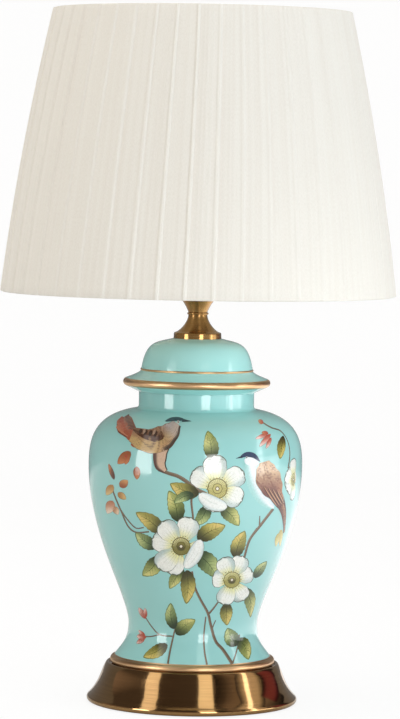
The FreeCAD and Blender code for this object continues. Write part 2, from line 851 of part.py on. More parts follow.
def shade_cover():
    rise = shade_height - 2 * edge_height
    outlines = [pleat_outline(shade_z, shade_bottom_radius - edge_round, edge_pleat_depth)]
    for n in range(side_levels):
        share = n / (side_levels - 1)
        crest = shade_bottom_radius + (shade_top_radius - shade_bottom_radius) * share
        crest += shade_belly * 4 * share * (1 - share)
        outlines.append(pleat_outline(shade_z + edge_height + rise * share, crest, pleat_depth))
    outlines.append(pleat_outline(shade_top, shade_top_radius - edge_round, edge_pleat_depth))
    outside = Part.makeLoft(outlines, True, True)
    low = shade_z + cloth_thickness
    high = shade_top - cloth_thickness
    inside = Section(0, shade_z - edge_height)
    inside.line(liner_outer(low) - hem_width, shade_z - edge_height)
    inside.lines((liner_outer(low) - hem_width, low), (liner_outer(low) + slip, low))
    inside.lines((liner_outer(high) + slip, high), (liner_outer(high) - hem_width, high))
    inside.lines((liner_outer(high) - hem_width, shade_top + edge_height), (0, shade_top + edge_height))
    return outside.cut(inside.solid())


# Light bulb

def bulb_tip():
    return Part.makeCone(bulb_tip_radius / 2, bulb_tip_radius, bulb_tip_height, Vector(0, 0, bulb_z))


def bulb_insulator():
    upper = bulb_cap_radius - bulb_cap_chamfer
    return Part.makeCone(bulb_tip_radius, upper, bulb_insulator_height, Vector(0, 0, insulator_z))


def bulb_cap():
    section = Section(0, bulb_cap_z)
    section.line(bulb_cap_radius - bulb_cap_chamfer, bulb_cap_z)
    section.line(bulb_cap_radius, bulb_cap_z + bulb_cap_chamfer_height)
    section.lines((bulb_cap_radius, bulb_housing_z), (0, bulb_housing_z))
    return section.solid()


def bulb_housing():
    edge = bulb_radius - housing_inset
    section = Section(0, bulb_housing_z)
    section.curve([
        (bulb_throat_radius, bulb_housing_z),
        (bulb_throat_radius + housing_start_pull[0], bulb_housing_z + housing_start_pull[1]),
        (edge + housing_end_pull[0], bulb_dome_z + housing_end_pull[1]),
        (edge, bulb_dome_z),
    ])
    section.line(0, bulb_dome_z)
    return section.solid()


def dome_shape(radius, height):
    poles = [
        (radius, bulb_dome_z),
        (radius, bulb_dome_z + height * quarter_round),
        (radius * quarter_round, bulb_dome_z + height),
        (0, bulb_dome_z + height),
    ]
    return Section(0, bulb_dome_z).line(radius, bulb_dome_z).curve(poles).solid()


def bulb_globe():
    outside = dome_shape(bulb_radius, bulb_dome_height)
    return outside.cut(dome_shape(bulb_radius - bulb_shell, bulb_dome_height - bulb_shell))


makers = [
    felt_pad, bottom_board, base_plinth, cord_bushing,
    base_washer, base_lock_washer, base_nut, threaded_tube,
    foot_gasket, jar_body, lid_gasket, jar_lid,
    neck_foot, holder_cup, upper_lock_washer, upper_nut,
    holder_cap, holder_insert, terminal_screws, thread_liner, centre_contact, holder_skirt,
    switch_case, switch_nut, switch_shaft, switch_knob,
    shade_ring, fitter_ring, fitter_arms, bottom_ring, top_ring, shade_liner, shade_cover,
    bulb_tip, bulb_insulator, bulb_cap, bulb_housing, bulb_globe,
]

for make in makers:
    make().exportStep(f"parts/{make.__name__}.step")
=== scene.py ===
import random
from math import asin, ceil, copysign, cos, dist, exp, hypot, log, pi, radians, sin, sqrt

import bpy
from mathutils import Matrix, Vector


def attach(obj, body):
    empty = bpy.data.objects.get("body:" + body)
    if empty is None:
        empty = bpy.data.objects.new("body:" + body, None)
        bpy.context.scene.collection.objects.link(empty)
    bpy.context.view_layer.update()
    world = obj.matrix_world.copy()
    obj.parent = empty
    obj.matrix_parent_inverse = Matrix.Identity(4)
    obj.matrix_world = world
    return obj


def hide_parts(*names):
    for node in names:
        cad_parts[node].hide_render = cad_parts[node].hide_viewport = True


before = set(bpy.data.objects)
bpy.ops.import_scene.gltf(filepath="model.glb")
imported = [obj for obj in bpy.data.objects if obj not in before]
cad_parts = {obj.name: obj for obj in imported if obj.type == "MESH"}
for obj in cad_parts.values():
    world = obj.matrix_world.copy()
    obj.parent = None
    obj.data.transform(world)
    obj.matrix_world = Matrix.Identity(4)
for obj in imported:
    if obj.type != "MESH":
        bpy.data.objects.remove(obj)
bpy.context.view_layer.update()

# Ginger jar table lamp: its looks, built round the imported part. Outlines and the painting
# are drawn in millimetres. The studio round the lamp is laid out in metres.

MM = 0.001
FRONT = radians(-90)


# Drawing in millimetres

def toward(angle):
    return cos(radians(angle)), sin(radians(angle))


def between(a, b, t):
    return tuple(x + (y - x) * t for x, y in zip(a, b))


def bezier(poles, steps):
    """Points along a four-pole curve, both ends included."""
    points = []
    for n in range(steps + 1):
        t = n / steps
        weights = ((1 - t) ** 3, 3 * t * (1 - t) ** 2, 3 * t * t * (1 - t), t ** 3)
        points.append(tuple(sum(w * pole[i] for w, pole in zip(weights, poles)) for i in (0, 1)))
    return points


def away(centre, reach, angle):
    c, s = toward(angle)
    return centre[0] + reach * c, centre[1] + reach * s


def arc(r, z, radius, first, last, steps):
    return [away((r, z), radius, first + (last - first) * n / steps) for n in range(steps + 1)]


def shifted(poles, distance):
    """The poles moved sideways, to the left of the curve's direction."""
    moved = []
    for a, b in ((poles[0], poles[1]), (poles[2], poles[3])):
        length = dist(a, b)
        dr = (a[1] - b[1]) / length * distance
        dz = (b[0] - a[0]) / length * distance
        moved += [(a[0] + dr, a[1] + dz), (b[0] + dr, b[1] + dz)]
    return moved


def refined(outline, longest):
    """The closed outline with its long straight runs divided."""
    points = []
    for a, b in zip(outline, outline[1:] + outline[:1]):
        parts = max(1, ceil(dist(a, b) / longest))
        points += [between(a, b, n / parts) for n in range(parts)]
    return points


def without_repeats(outline):
    kept = []
    for place in outline:
        if not kept or dist(place, kept[-1]) > 1e-4:
            kept.append(place)
    if dist(kept[0], kept[-1]) < 1e-4:
        kept.pop()
    return kept


def placed(name, data):
    piece = bpy.data.objects.new(name, data)
    bpy.context.scene.collection.objects.link(piece)
    return piece


def new_object(name, vertices, faces, sharp=35.0):
    mesh = bpy.data.meshes.new(name)
    mesh.from_pydata(vertices, [], faces)
    mesh.validate()
    mesh.shade_smooth()
    mesh.set_sharp_from_angle(angle=radians(sharp))
    return placed(name, mesh)


def quads(rows, columns, closed_rows=False, closed_columns=False, turned=False, first=0):
    """Faces of a grid of vertices that are numbered from first, row by row."""
    faces = []
    for k in range(rows if closed_columns else rows - 1):
        near, far = first + k * columns, first + (k + 1) % rows * columns
        for n in range(columns if closed_rows else columns - 1):
            after = (n + 1) % columns
            face = (near + n, near + after, far + after, far + n)
            faces.append((face[0], face[3], face[2], face[1]) if turned else face)
    return faces


def lathe(name, outline, segments):
    """A closed outline in radius and height, counter-clockwise, turned about the Z axis."""
    outline = without_repeats(outline)
    vertices = []
    for n in range(segments):
        c, s = toward(360 * n / segments)
        vertices += [(r * c * MM, r * s * MM, z * MM) for r, z in outline]
    return new_object(name, vertices, quads(segments, len(outline), True, True, True))


# Materials

WHITE = (255, 255, 255)


def linear(colour):
    """A colour given in 0 to 255 as on screen, for the shader."""
    values = []
    for c in colour:
        c = c / 255
        values.append(c / 12.92 if c <= 0.04045 else ((c + 0.055) / 1.055) ** 2.4)
    return tuple(values) + (1.0,)


class Nodes:
    """A node tree, with short ways to add to it."""

    def __init__(self, tree):
        self.tree = tree

    def feed(self, source, target):
        """Links the target to a socket, or sets it to a value."""
        if isinstance(source, bpy.types.NodeSocket):
            self.tree.links.new(source, target)
        else:
            target.default_value = source

    def node(self, kind, inputs=None, **settings):
        made = self.tree.nodes.new("ShaderNode" + kind)
        for key, value in settings.items():
            setattr(made, key, value)
        for key, source in (inputs or {}).items():
            self.feed(source, made.inputs[key])
        return made

    def combined(self, operation, first, second):
        return self.node("Math", {0: first, 1: second}, operation=operation).outputs[0]

    def ranged(self, source, low, high, at_low=0.0, at_high=1.0):
        """Runs from at_low to at_high while the source runs from low to high."""
        limits = {"From Min": low, "From Max": high, "To Min": at_low, "To Max": at_high}
        return self.node("MapRange", {"Value": source, **limits}).outputs["Result"]

    def mixed(self, share, first, second):
        """The first shader where the share is 0, the second where it is 1."""
        return self.node("MixShader", {0: share, 1: first, 2: second}).outputs[0]

    def split(self, vector):
        return self.node("SeparateXYZ", {0: vector}).outputs

    def glow(self, kind, strength, colour=(1.0, 1.0, 1.0)):
        return self.node(kind, {"Color": colour + (1.0,), "Strength": strength}).outputs[0]


class Shader(Nodes):
    """A material with a Principled surface and a few nodes in front of it."""

    def __init__(self, name, **fixed):
        self.material = bpy.data.materials.new(name)
        self.material.use_nodes = True
        super().__init__(self.material.node_tree)
        self.surface = self.tree.nodes["Principled BSDF"]
        for key, value in fixed.items():
            self.drive(key.replace("_", " "), value)

    def drive(self, key, source):
        self.feed(source, self.surface.inputs[key])

    def place(self):
        return self.node("TexCoord").outputs["Object"]

    def stretched(self, x, y, z=1.0, vector=None):
        return self.node("Mapping", {"Scale": (x, y, z), "Vector": vector or self.place()}).outputs["Vector"]

    def noise(self, scale, detail, vector=None):
        inputs = {"Scale": scale, "Detail": detail, "Vector": vector or self.place()}
        return self.node("TexNoise", inputs).outputs["Fac"]

    def ramp(self, source, *stops):
        """A colour ramp through (position, colour) stops."""
        ramp = self.node("ValToRGB", {"Fac": source})
        elements = ramp.color_ramp.elements
        while len(elements) < len(stops):
            elements.new(0.5)
        for element, (position, colour) in zip(elements, stops):
            element.position = position
            element.color = colour
        return ramp.outputs["Color"]

    def two_tone(self, source, dark, light, first=0.3, last=0.7):
        """Runs from the dark to the light colour, both given as on screen."""
        return self.ramp(source, (first, linear(dark)), (last, linear(light)))

    def grey(self, source, low, high):
        return self.ramp(source, (0.3, (low,) * 3 + (1,)), (0.7, (high,) * 3 + (1,)))

    def multiplied(self, tone, shade, factor):
        inputs = {"Factor": factor, "A": tone, "B": shade}
        return self.node("Mix", inputs, data_type="RGBA", blend_type="MULTIPLY").outputs["Result"]

    def bump(self, source, strength, distance):
        inputs = {"Height": source, "Strength": strength, "Distance": distance}
        self.drive("Normal", self.node("Bump", inputs).outputs["Normal"])

    def finished(self, tone, texture, low, high):
        """The material, coloured by tone and with a roughness from low to high by texture."""
        self.drive("Base Color", tone)
        self.drive("Roughness", self.grey(texture, low, high))
        return self.material

    def replaced(self, shader):
        """The material with another shader in place of the Principled surface."""
        self.feed(shader, self.tree.nodes["Material Output"].inputs["Surface"])
        return self.material


def mottled(name, dark, light, scale, low, high, bump=0.0, **fixed):
    """A surface whose colour wanders between two, with roughness between low and high."""
    shader = Shader(name, **fixed)
    noise = shader.noise(scale, 5.0)
    if bump:
        shader.bump(noise, bump, 0.0004)
    tone = shader.two_tone(noise, dark, light, 0.35, 0.65)
    return shader.finished(tone, shader.noise(scale * 2.3, 3.0), low, high)


def cloth_material():
    """Fine pleated cloth with a close weave and faint slubs along the folds."""
    shader = Shader("pleated_cloth", Sheen_Weight=0.2, Sheen_Roughness=0.5, Specular_IOR_Level=0.2)
    along = shader.node("UVMap", uv_map="cloth").outputs["UV"]
    threads = shader.noise(1.0, 2.0, shader.stretched(1500.0, 420.0, vector=along))
    slubs = shader.noise(1.0, 3.0, shader.stretched(210.0, 2.5, vector=along))
    tone = shader.two_tone(slubs, (241, 236, 227), (246, 243, 235), 0.25, 0.75)
    weave = shader.two_tone(threads, (238, 236, 232), WHITE, 0.35, 0.6)
    shader.bump(threads, 0.25, 0.0002)
    return shader.finished(shader.multiplied(tone, weave, 0.25), threads, 0.75, 0.92)


def glaze_material(name, dark, light):
    """Glossy glaze with a very faint unevenness of tone."""
    shader = Shader(name, IOR=1.5)
    tone = shader.two_tone(shader.noise(9.0, 3.0), dark, light)
    return shader.finished(tone, shader.noise(60.0, 2.0), 0.05, 0.09)


def gilding_material():
    """Gold lustre laid on the glaze with a brush: satin, a little uneven."""
    shader = Shader("gilding", Metallic=1.0)
    streaks = shader.noise(120.0, 4.0, shader.stretched(0.25, 0.25, 3.0))
    return shader.finished(shader.two_tone(streaks, (184, 146, 106), (220, 184, 142)), streaks, 0.30, 0.42)


def painting_material():
    """On-glaze enamels: the colours are held by the painted strokes, the brush adds a grain."""
    shader = Shader("painting", IOR=1.5)
    paint = shader.node("Attribute", attribute_name="Paint").outputs["Color"]
    grain = shader.noise(700.0, 3.0)
    shade = shader.two_tone(grain, (205, 200, 195), WHITE, 0.3, 0.62)
    return shader.finished(shader.multiplied(paint, shade, 0.3), grain, 0.08, 0.14)


def brass_material(name, dark, light, low, high, brushing):
    """Brass darkened with age under lacquer, brushed round the lathe's axis."""
    shader = Shader(name, Metallic=1.0, Anisotropic=brushing, Anisotropic_Rotation=0.25)
    around = shader.node("Tangent", direction_type="RADIAL", axis="Z")
    shader.drive("Tangent", around.outputs["Tangent"])
    brushed = shader.noise(40.0, 6.0, shader.stretched(0.4, 0.4, 30.0))
    tone = shader.two_tone(shader.noise(14.0, 3.0), dark, light)
    marks = shader.two_tone(brushed, (190, 185, 180), WHITE, 0.35, 0.65)
    return shader.finished(shader.multiplied(tone, marks, 0.3), brushed, low, high)


CLOTH = cloth_material()
GLAZE = glaze_material("glaze", (155, 210, 207), (162, 216, 213))
# Painted light: the lid takes a lighter copy of the jar's glaze, to stand in for light that the lampshade
# keeps off the lid.
LID_GLAZE_PAINTED_LIGHTER = glaze_material("lid_glaze", (173, 230, 227), (179, 235, 232))
GILDING = gilding_material()
PAINTING = painting_material()
PLINTH_BRASS = brass_material("plinth_brass", (162, 127, 84), (178, 142, 97), 0.08, 0.14, 0.7)
NECK_BRASS = brass_material("neck_brass", (142, 106, 62), (178, 140, 90), 0.20, 0.26, 1.0)


def dress(material, *node_names):
    for node_name in node_names:
        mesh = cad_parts[node_name].data
        mesh.materials.clear()
        mesh.materials.append(material)
        mesh.shade_smooth()
        mesh.set_sharp_from_angle(angle=radians(30))


dress(mottled("rubber", (20, 20, 20), (30, 30, 30), 150, 0.6, 0.8, 0.1),
      "cord_bushing", "foot_gasket", "lid_gasket")
dress(mottled("felt", (24, 30, 26), (44, 52, 46), 900, 0.9, 1.0, 0.8), "felt_pad")
dress(mottled("fibreboard", (110, 82, 56), (138, 106, 74), 320, 0.75, 0.9, 0.2), "bottom_board")
dress(mottled("zinc_steel", (158, 160, 164), (184, 186, 189), 260, 0.25, 0.45, 0.1, Metallic=1.0),
      "base_washer", "base_lock_washer", "base_nut", "threaded_tube",
      "upper_lock_washer", "upper_nut", "switch_nut")
dress(mottled("holder_plastic", (222, 219, 210), (230, 227, 219), 40, 0.35, 0.45),
      "holder_cap", "holder_skirt", "shade_ring")
dress(mottled("porcelain", (226, 223, 214), (234, 232, 225), 25, 0.2, 0.3), "holder_insert")
dress(mottled("contact_brass", (190, 152, 88), (214, 178, 112), 180, 0.25, 0.4, 0.05, Metallic=1.0),
      "terminal_screws", "thread_liner", "centre_contact", "switch_shaft", "bulb_tip")
dress(mottled("switch_plastic", (22, 20, 19), (32, 29, 27), 90, 0.35, 0.5, 0.05),
      "switch_case", "switch_knob")
dress(mottled("wire_paint", (224, 221, 213), (233, 231, 224), 90, 0.35, 0.5, 0.1),
      "fitter_ring", "fitter_arms", "bottom_ring", "top_ring")
dress(mottled("lining", (240, 233, 220), (246, 241, 231), 30, 0.7, 0.85, 0.05), "shade_liner")
dress(mottled("bulb_insulator", (14, 14, 16), (24, 24, 27), 120, 0.12, 0.2), "bulb_insulator")
dress(mottled("bulb_cap", (186, 187, 189), (206, 207, 208), 200, 0.22, 0.36, 0.05, Metallic=1.0), "bulb_cap")
dress(mottled("bulb_housing", (226, 226, 223), (234, 234, 231), 30, 0.3, 0.4), "bulb_housing")
dress(mottled("opal_globe", (244, 241, 232), (249, 247, 240), 20, 0.3, 0.38, Subsurface_Weight=0.2),
      "bulb_globe")
dress(PLINTH_BRASS, "base_plinth")
dress(GLAZE, "jar_body", "jar_lid")
dress(NECK_BRASS, "neck_foot", "holder_cup")
dress(CLOTH, "shade_cover")


# Turned pieces, drawn again with close, even facets for clean reflections

TUBE_HOLE = 5.4
SEAT_Z = 34.5
JAR_Z = 35.3
LID_Z = 286.6
FOOT_BEAD = 3.6
FOOT_RING = 61.0
JAR_NECK = 52.3
GLAZED_WALL = 5.5
NECK_Z = 331.5
WAIST_Z = 352.9
WAIST_RADIUS = 8.6
# The plinth's rounded top edge and the curl at its foot: middle, radius and where the side meets it
EDGE, EDGE_ROLL, EDGE_ANGLE = (77.0, 34.9), 1.6, 41.6
CURL, CURL_ROLL, CURL_ANGLE, CURL_END = (92.3, 3.9), 3.4, 46.6, -159.4
PLINTH_WALL = 1.5


def finish_turned(piece, node_name, material):
    piece.data.materials.append(material)
    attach(piece, "stand")
    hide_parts(node_name)


def gild(piece, bands):
    """Gives the faces whose middle lies in one of the bands of height the gilding, outside only."""
    piece.data.materials.append(GILDING)
    for face in piece.data.polygons:
        centre = face.center / MM
        radius = hypot(centre.x, centre.y)
        for low, high, inner in bands:
            if low < centre.z < high and radius > inner:
                face.material_index = 1


def plinth_side(inset=0.0):
    c0, s0 = toward(EDGE_ANGLE)
    c1, s1 = toward(CURL_ANGLE)
    start = away(EDGE, EDGE_ROLL, EDGE_ANGLE)
    end = away(CURL, CURL_ROLL, CURL_ANGLE)
    return shifted([start, (start[0] + 6.4 * s0, start[1] - 6.4 * c0),
                    (end[0] - 15.0 * s1, end[1] + 15.0 * c1), end], -inset)


def plinth_outline():
    down = arc(*EDGE, EDGE_ROLL, 180, EDGE_ANGLE, 14) + bezier(plinth_side(), 40)
    curl = arc(*CURL, CURL_ROLL, CURL_ANGLE, CURL_END, 34)
    curl += arc(*CURL, CURL_ROLL - PLINTH_WALL, CURL_END, CURL_ANGLE, 24)
    back = bezier(plinth_side(PLINTH_WALL), 30)[::-1]
    under = [(76.9, 33.0), (TUBE_HOLE, 33.0), (TUBE_HOLE, SEAT_Z), (75.4, SEAT_Z)]
    return (down + curl + back + under)[::-1]


def cut_hole(piece, centre, axis, radius, length):
    """Cuts a round hole, as for the flex at the back of the plinth."""
    bpy.ops.mesh.primitive_cylinder_add(vertices=48, radius=radius, depth=length, location=centre)
    cutter = bpy.context.object
    cutter.rotation_mode = "QUATERNION"
    cutter.rotation_quaternion = Vector((0, 0, 1)).rotation_difference(Vector(axis))
    change = piece.modifiers.new("hole", "BOOLEAN")
    change.operation = "DIFFERENCE"
    change.object = cutter
    change.solver = "EXACT"
    bpy.context.view_layer.objects.active = piece
    bpy.ops.object.modifier_apply(modifier="hole")
    bpy.data.objects.remove(cutter)


plinth = lathe("plinth_shell", refined(plinth_outline(), 9.0), 224)
cut_hole(plinth, (0, 0.087, 0.018), (0, 1, 0), 0.0053, 0.04)
plinth.data.set_sharp_from_angle(angle=radians(35))
finish_turned(plinth, "base_plinth", PLINTH_BRASS)


def jar_curves(inset=0.0):
    """The jar's side from the foot bead to the shoulder."""
    foot = (74.8 - FOOT_BEAD, JAR_Z + 2 * FOOT_BEAD)
    waist = (58.6, JAR_Z + 36.2)
    belly = (97.0, JAR_Z + 181.7)
    shoulder = (55.0, JAR_Z + 232.3)
    c0, s0 = toward(56.4)
    c1, s1 = toward(9.0)
    return [shifted(poles, inset) for poles in (
        [foot, (foot[0] - 9.7 * c0, foot[1] + 9.7 * s0), (waist[0], waist[1] - 16.3), waist],
        [waist, (waist[0], waist[1] + 25.0), (belly[0], belly[1] - 65.2), belly],
        [belly, (belly[0], belly[1] + 19.6), (shoulder[0] + 40.4 * c1, shoulder[1] - 40.4 * s1), shoulder],
    )]


def jar_side():
    """Points up the jar's outside, from the foot bead to the neck."""
    lower, flank, upper = jar_curves()
    side = bezier(lower, 24) + bezier(flank, 50)[1:] + bezier(upper, 44)[1:]
    c, s = toward(9.0)
    r, z = side[-1]
    cove = (r - JAR_NECK) / (1 - s)
    return side + arc(JAR_NECK + cove, z + cove * c, cove, 261, 180, 12)[1:]


def jar_outline():
    bead = arc(74.8 - FOOT_BEAD, JAR_Z + FOOT_BEAD, FOOT_BEAD, -90, 90, 24)
    outside = [(FOOT_RING, JAR_Z)] + bead + jar_side()
    rim = [(JAR_NECK, JAR_Z + 248)] + arc(50.5, JAR_Z + 248.9, 1.8, 0, 90, 8) + [(46.8, JAR_Z + 250.7)]
    lower, flank, upper = jar_curves(GLAZED_WALL)
    inner = bezier(upper, 22)[::-1] + bezier(flank, 30)[::-1]
    inner += [place for place in bezier(lower, 14)[::-1] if place[1] > JAR_Z + 14]
    floor = [(inner[-1][0] - 4, JAR_Z + 12.7), (TUBE_HOLE, JAR_Z + 12.7), (TUBE_HOLE, JAR_Z + 5.7),
             (FOOT_RING, JAR_Z + 5.7)]
    return outside + rim + inner + floor


jar = lathe("jar_glaze", refined(jar_outline(), 12.0), 224)
finish_turned(jar, "jar_body", GLAZE)
gild(jar, [(JAR_Z - 1, JAR_Z + 2 * FOOT_BEAD + 1.3, 62.0)])


def lid_outline():
    ring_outer = 46.2
    dome = [(50.5, LID_Z + 17.6), (46.4, LID_Z + 43.1), (36.4, LID_Z + 40.8), (22.0, LID_Z + 44.9)]
    rib = arc(50.1, LID_Z + 16.4, 1.2, -50, 60, 12)
    shoulder = [(64.49, LID_Z + 8.56), (57.29, LID_Z + 11.16), (rib[0][0] + 1.2, rib[0][1] - 2.0), rib[0]]
    under = [(ring_outer - 5, LID_Z - 10), (ring_outer, LID_Z - 10), (ring_outer, LID_Z), (53.2, LID_Z),
             (53.2, LID_Z - 3.4)]
    flange = arc(63.2, LID_Z + 5.2, FOOT_BEAD, -67, 69, 20)
    hole = [(TUBE_HOLE, LID_Z + 44.9), (TUBE_HOLE, LID_Z + 39.9)]
    top = bezier(shoulder, 14) + rib + bezier(dome, 36) + hole
    inner = bezier(shifted(dome, 5.0), 20)[::-1] + [(ring_outer - 5, LID_Z + 11.4)]
    return under + flange + top + inner


lid = lathe("lid_glaze", refined(lid_outline(), 9.0), 192)
# The lid gets the lighter copy of the glaze, which is painted light for the shade the lampshade casts on it.
finish_turned(lid, "jar_lid", LID_GLAZE_PAINTED_LIGHTER)
gild(lid, [(LID_Z + 1.4, LID_Z + 8.6, 61.5), (LID_Z + 15.5, LID_Z + 17.5, 50.2)])


def foot_outline():
    top = NECK_Z + 4.2 + 1.3
    cove = [(20.2, top), (15.5, top + 1.3), (WAIST_RADIUS, WAIST_Z - 5.8), (WAIST_RADIUS, WAIST_Z)]
    hollow = shifted(cove, 2.2)
    outside = [(19.5, NECK_Z), (21.7, NECK_Z)] + arc(20.2, top - 1.3, 1.3, 0, 90, 8) + bezier(cove, 24)
    inside = [(TUBE_HOLE, WAIST_Z), (TUBE_HOLE, 342.2), hollow[1], (19.5, 332.7)]
    return outside + inside


def cup_outline():
    flare = [(WAIST_RADIUS, 355.1), (12.0, 363.9), (16.7, 368.1), (17.6, 370.6)]
    outside = arc(WAIST_RADIUS, 354.0, 1.1, -90, 90, 12) + bezier(flare, 20)
    outside += arc(17.6, 373.6, 0.9, -90, 90, 10)
    return [(TUBE_HOLE, WAIST_Z)] + outside + [(11.5, 374.5), (11.5, 365.5), (TUBE_HOLE, 365.5)]


for node_name, outline in (("neck_foot", foot_outline()), ("holder_cup", cup_outline())):
    finish_turned(lathe(node_name + "_turned", outline, 96), node_name, NECK_BRASS)


# Pleated cover of the shade

SHADE_LOW = 372.0
SHADE_HIGH = 628.0
PLEATS = 44
PLEAT_STEPS = (0.0, 0.05, 0.11, 0.17, 0.22, 0.27, 0.33, 0.38, 0.43, 0.49, 0.55, 0.60, 0.66, 0.72, 0.78,
               0.83, 0.85, 0.87, 0.90, 0.93, 0.955, 0.97, 0.985)
SHADE_ROWS = 34
LOW_RADIUS = 180.5
HIGH_RADIUS = 136.9
SIDE_BOW = 3.4
CLOTH_PLAY = 0.35
PLEAT_DEPTH = 2.0
CLOTH_THICKNESS = 0.5
# Rise from the edge, inset and share of the pleats' depth, along the cloth's turned-in edge
TURNED_EDGE = ((0.6, 0.5, 0.9), (0.15, 1.6, 0.6), (0.1, 4.0, 0.3), (0.1, 9.3, 0.1))


def pleat_place(n):
    """Angle of the valley before pleat n, in degrees, as in the part."""
    even = 360 / PLEATS * n
    turn = radians(even)
    return even - 1.5 + 0.9 * (sin(2 * turn + 1) + sin(6 * turn)) / 2


def smooth(t):
    t = min(1.0, max(0.0, t))
    return t * t * (3 - 2 * t)


def pleat_profile(t, sub, strength):
    """Height of the cloth over the valley, from 0 to 1, at a share t of one pleat's pitch.

    The cloth climbs slowly in soft sub-folds, rises to the fold and drops into the next valley."""
    climb = 0.40 * smooth(t / 0.8)
    ripple = 0.0
    for place, height in sub:
        ripple += height * exp(-((t - place) / 0.035) ** 2)
    fold = 0.60 * smooth((t - 0.83) / 0.03)
    slope = 0.22 * smooth((t - 0.87) / 0.08)
    drop = smooth((t - 0.955) / 0.025)
    return (climb + ripple + (fold - slope) * strength) * (1 - drop * (0.35 + 0.65 * strength))


def shade_cover():
    chance = random.Random(7)
    sub_folds = []
    strength = []
    for n in range(PLEATS):
        sub_folds.append([(chance.choice(places), chance.uniform(0.05, 0.22))
                          for places in ((0.11, 0.17, 0.22), (0.33, 0.38, 0.43), (0.55, 0.60, 0.66))])
        azimuth = (pleat_place(n + 1) + 90 + 180) % 360 - 180
        sharp = exp(-((azimuth + 5) / 11) ** 2) + 0.45 * exp(-((azimuth + 56) / 13) ** 2)
        strength.append(0.22 + 0.7 * sharp + chance.uniform(0.0, 0.22))
    rows = []
    for k in range(SHADE_ROWS + 1):
        share = k / SHADE_ROWS
        rows.append((SHADE_LOW + 1.6 + (SHADE_HIGH - SHADE_LOW - 3.2) * share, share, 0.0, 1.0))
    low_turn = [(SHADE_LOW + rise, 0.0, inset, depth) for rise, inset, depth in TURNED_EDGE]
    high_turn = [(SHADE_HIGH - rise, 1.0, inset, depth) for rise, inset, depth in TURNED_EDGE]
    rows = low_turn[::-1] + rows + high_turn
    vertices = []
    waver = [[chance.uniform(-1, 1) for _ in range(7)] for _ in range(PLEATS)]
    for z, share, inset, depth in rows:
        crest = LOW_RADIUS + (HIGH_RADIUS - LOW_RADIUS) * share
        crest = crest + SIDE_BOW * 4 * share * (1 - share) - CLOTH_PLAY
        lean = -1.2 + 2.5 * share
        for n in range(PLEATS):
            first = pleat_place(n)
            last = pleat_place(n + 1)
            level = share * 6
            cell = min(5, int(level))
            drift = waver[n][cell] + (waver[n][cell + 1] - waver[n][cell]) * smooth(level - cell)
            for t in PLEAT_STEPS:
                height = pleat_profile(t, sub_folds[n], strength[n])
                radius = crest - inset - PLEAT_DEPTH * depth * (1 - height)
                angle = first + (last - first) * t + lean + 0.14 * drift * sin(pi * t)
                c, s = toward(angle)
                vertices.append((radius * c * MM, radius * s * MM, z * MM))
    around = PLEATS * len(PLEAT_STEPS)
    cover = new_object("pleated_cover", vertices, quads(len(rows), around, True), 75.0)
    lay = cover.data.uv_layers.new(name="cloth")
    for loop, corner in zip(cover.data.loops, lay.data):
        row, column = divmod(loop.vertex_index, around)
        column = column or (around if loop.index % 4 in (1, 2) else 0)
        corner.uv = (column / around, rows[row][0] * MM)
    thicken = cover.modifiers.new("thickness", "SOLIDIFY")
    thicken.thickness = CLOTH_THICKNESS * MM
    thicken.offset = -1.0
    bpy.context.view_layer.objects.active = cover
    bpy.ops.object.modifier_apply(modifier="thickness")
    cover.data.materials.append(CLOTH)
    return cover


cover = shade_cover()
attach(cover, "shade")
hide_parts("shade_cover")


# Painting on the jar. It is laid out on the jar's front view: x to the right and z up, in
# millimetres, and wrapped on the side of the jar.

SIDE = jar_side()


def jar_radius(z):
    """Radius of the jar's side at a height, and its slope."""
    for a, b in zip(SIDE, SIDE[1:]):
        if a[1] <= z <= b[1]:
            t = (z - a[1]) / (b[1] - a[1])
            return a[0] + (b[0] - a[0]) * t, (b[0] - a[0]) / (b[1] - a[1])
    return SIDE[0][0], 0.0


FACET = 1.3
LIFT = 0.05
LIFT_PER_LEVEL = 0.004
STEM_LEVEL, LEAF_LEVEL, BUD_LEVEL, FLOWER_LEVEL, BIRD_LEVEL = 0, 3, 15, 18, 46

# The painting is drawn as it is seen from the front. Past this share of the jar's radius it is
# drawn in a little, so that it isn't stretched where it runs round the side.
ROUND_FROM = 0.8
ROUND_REACH = 0.17


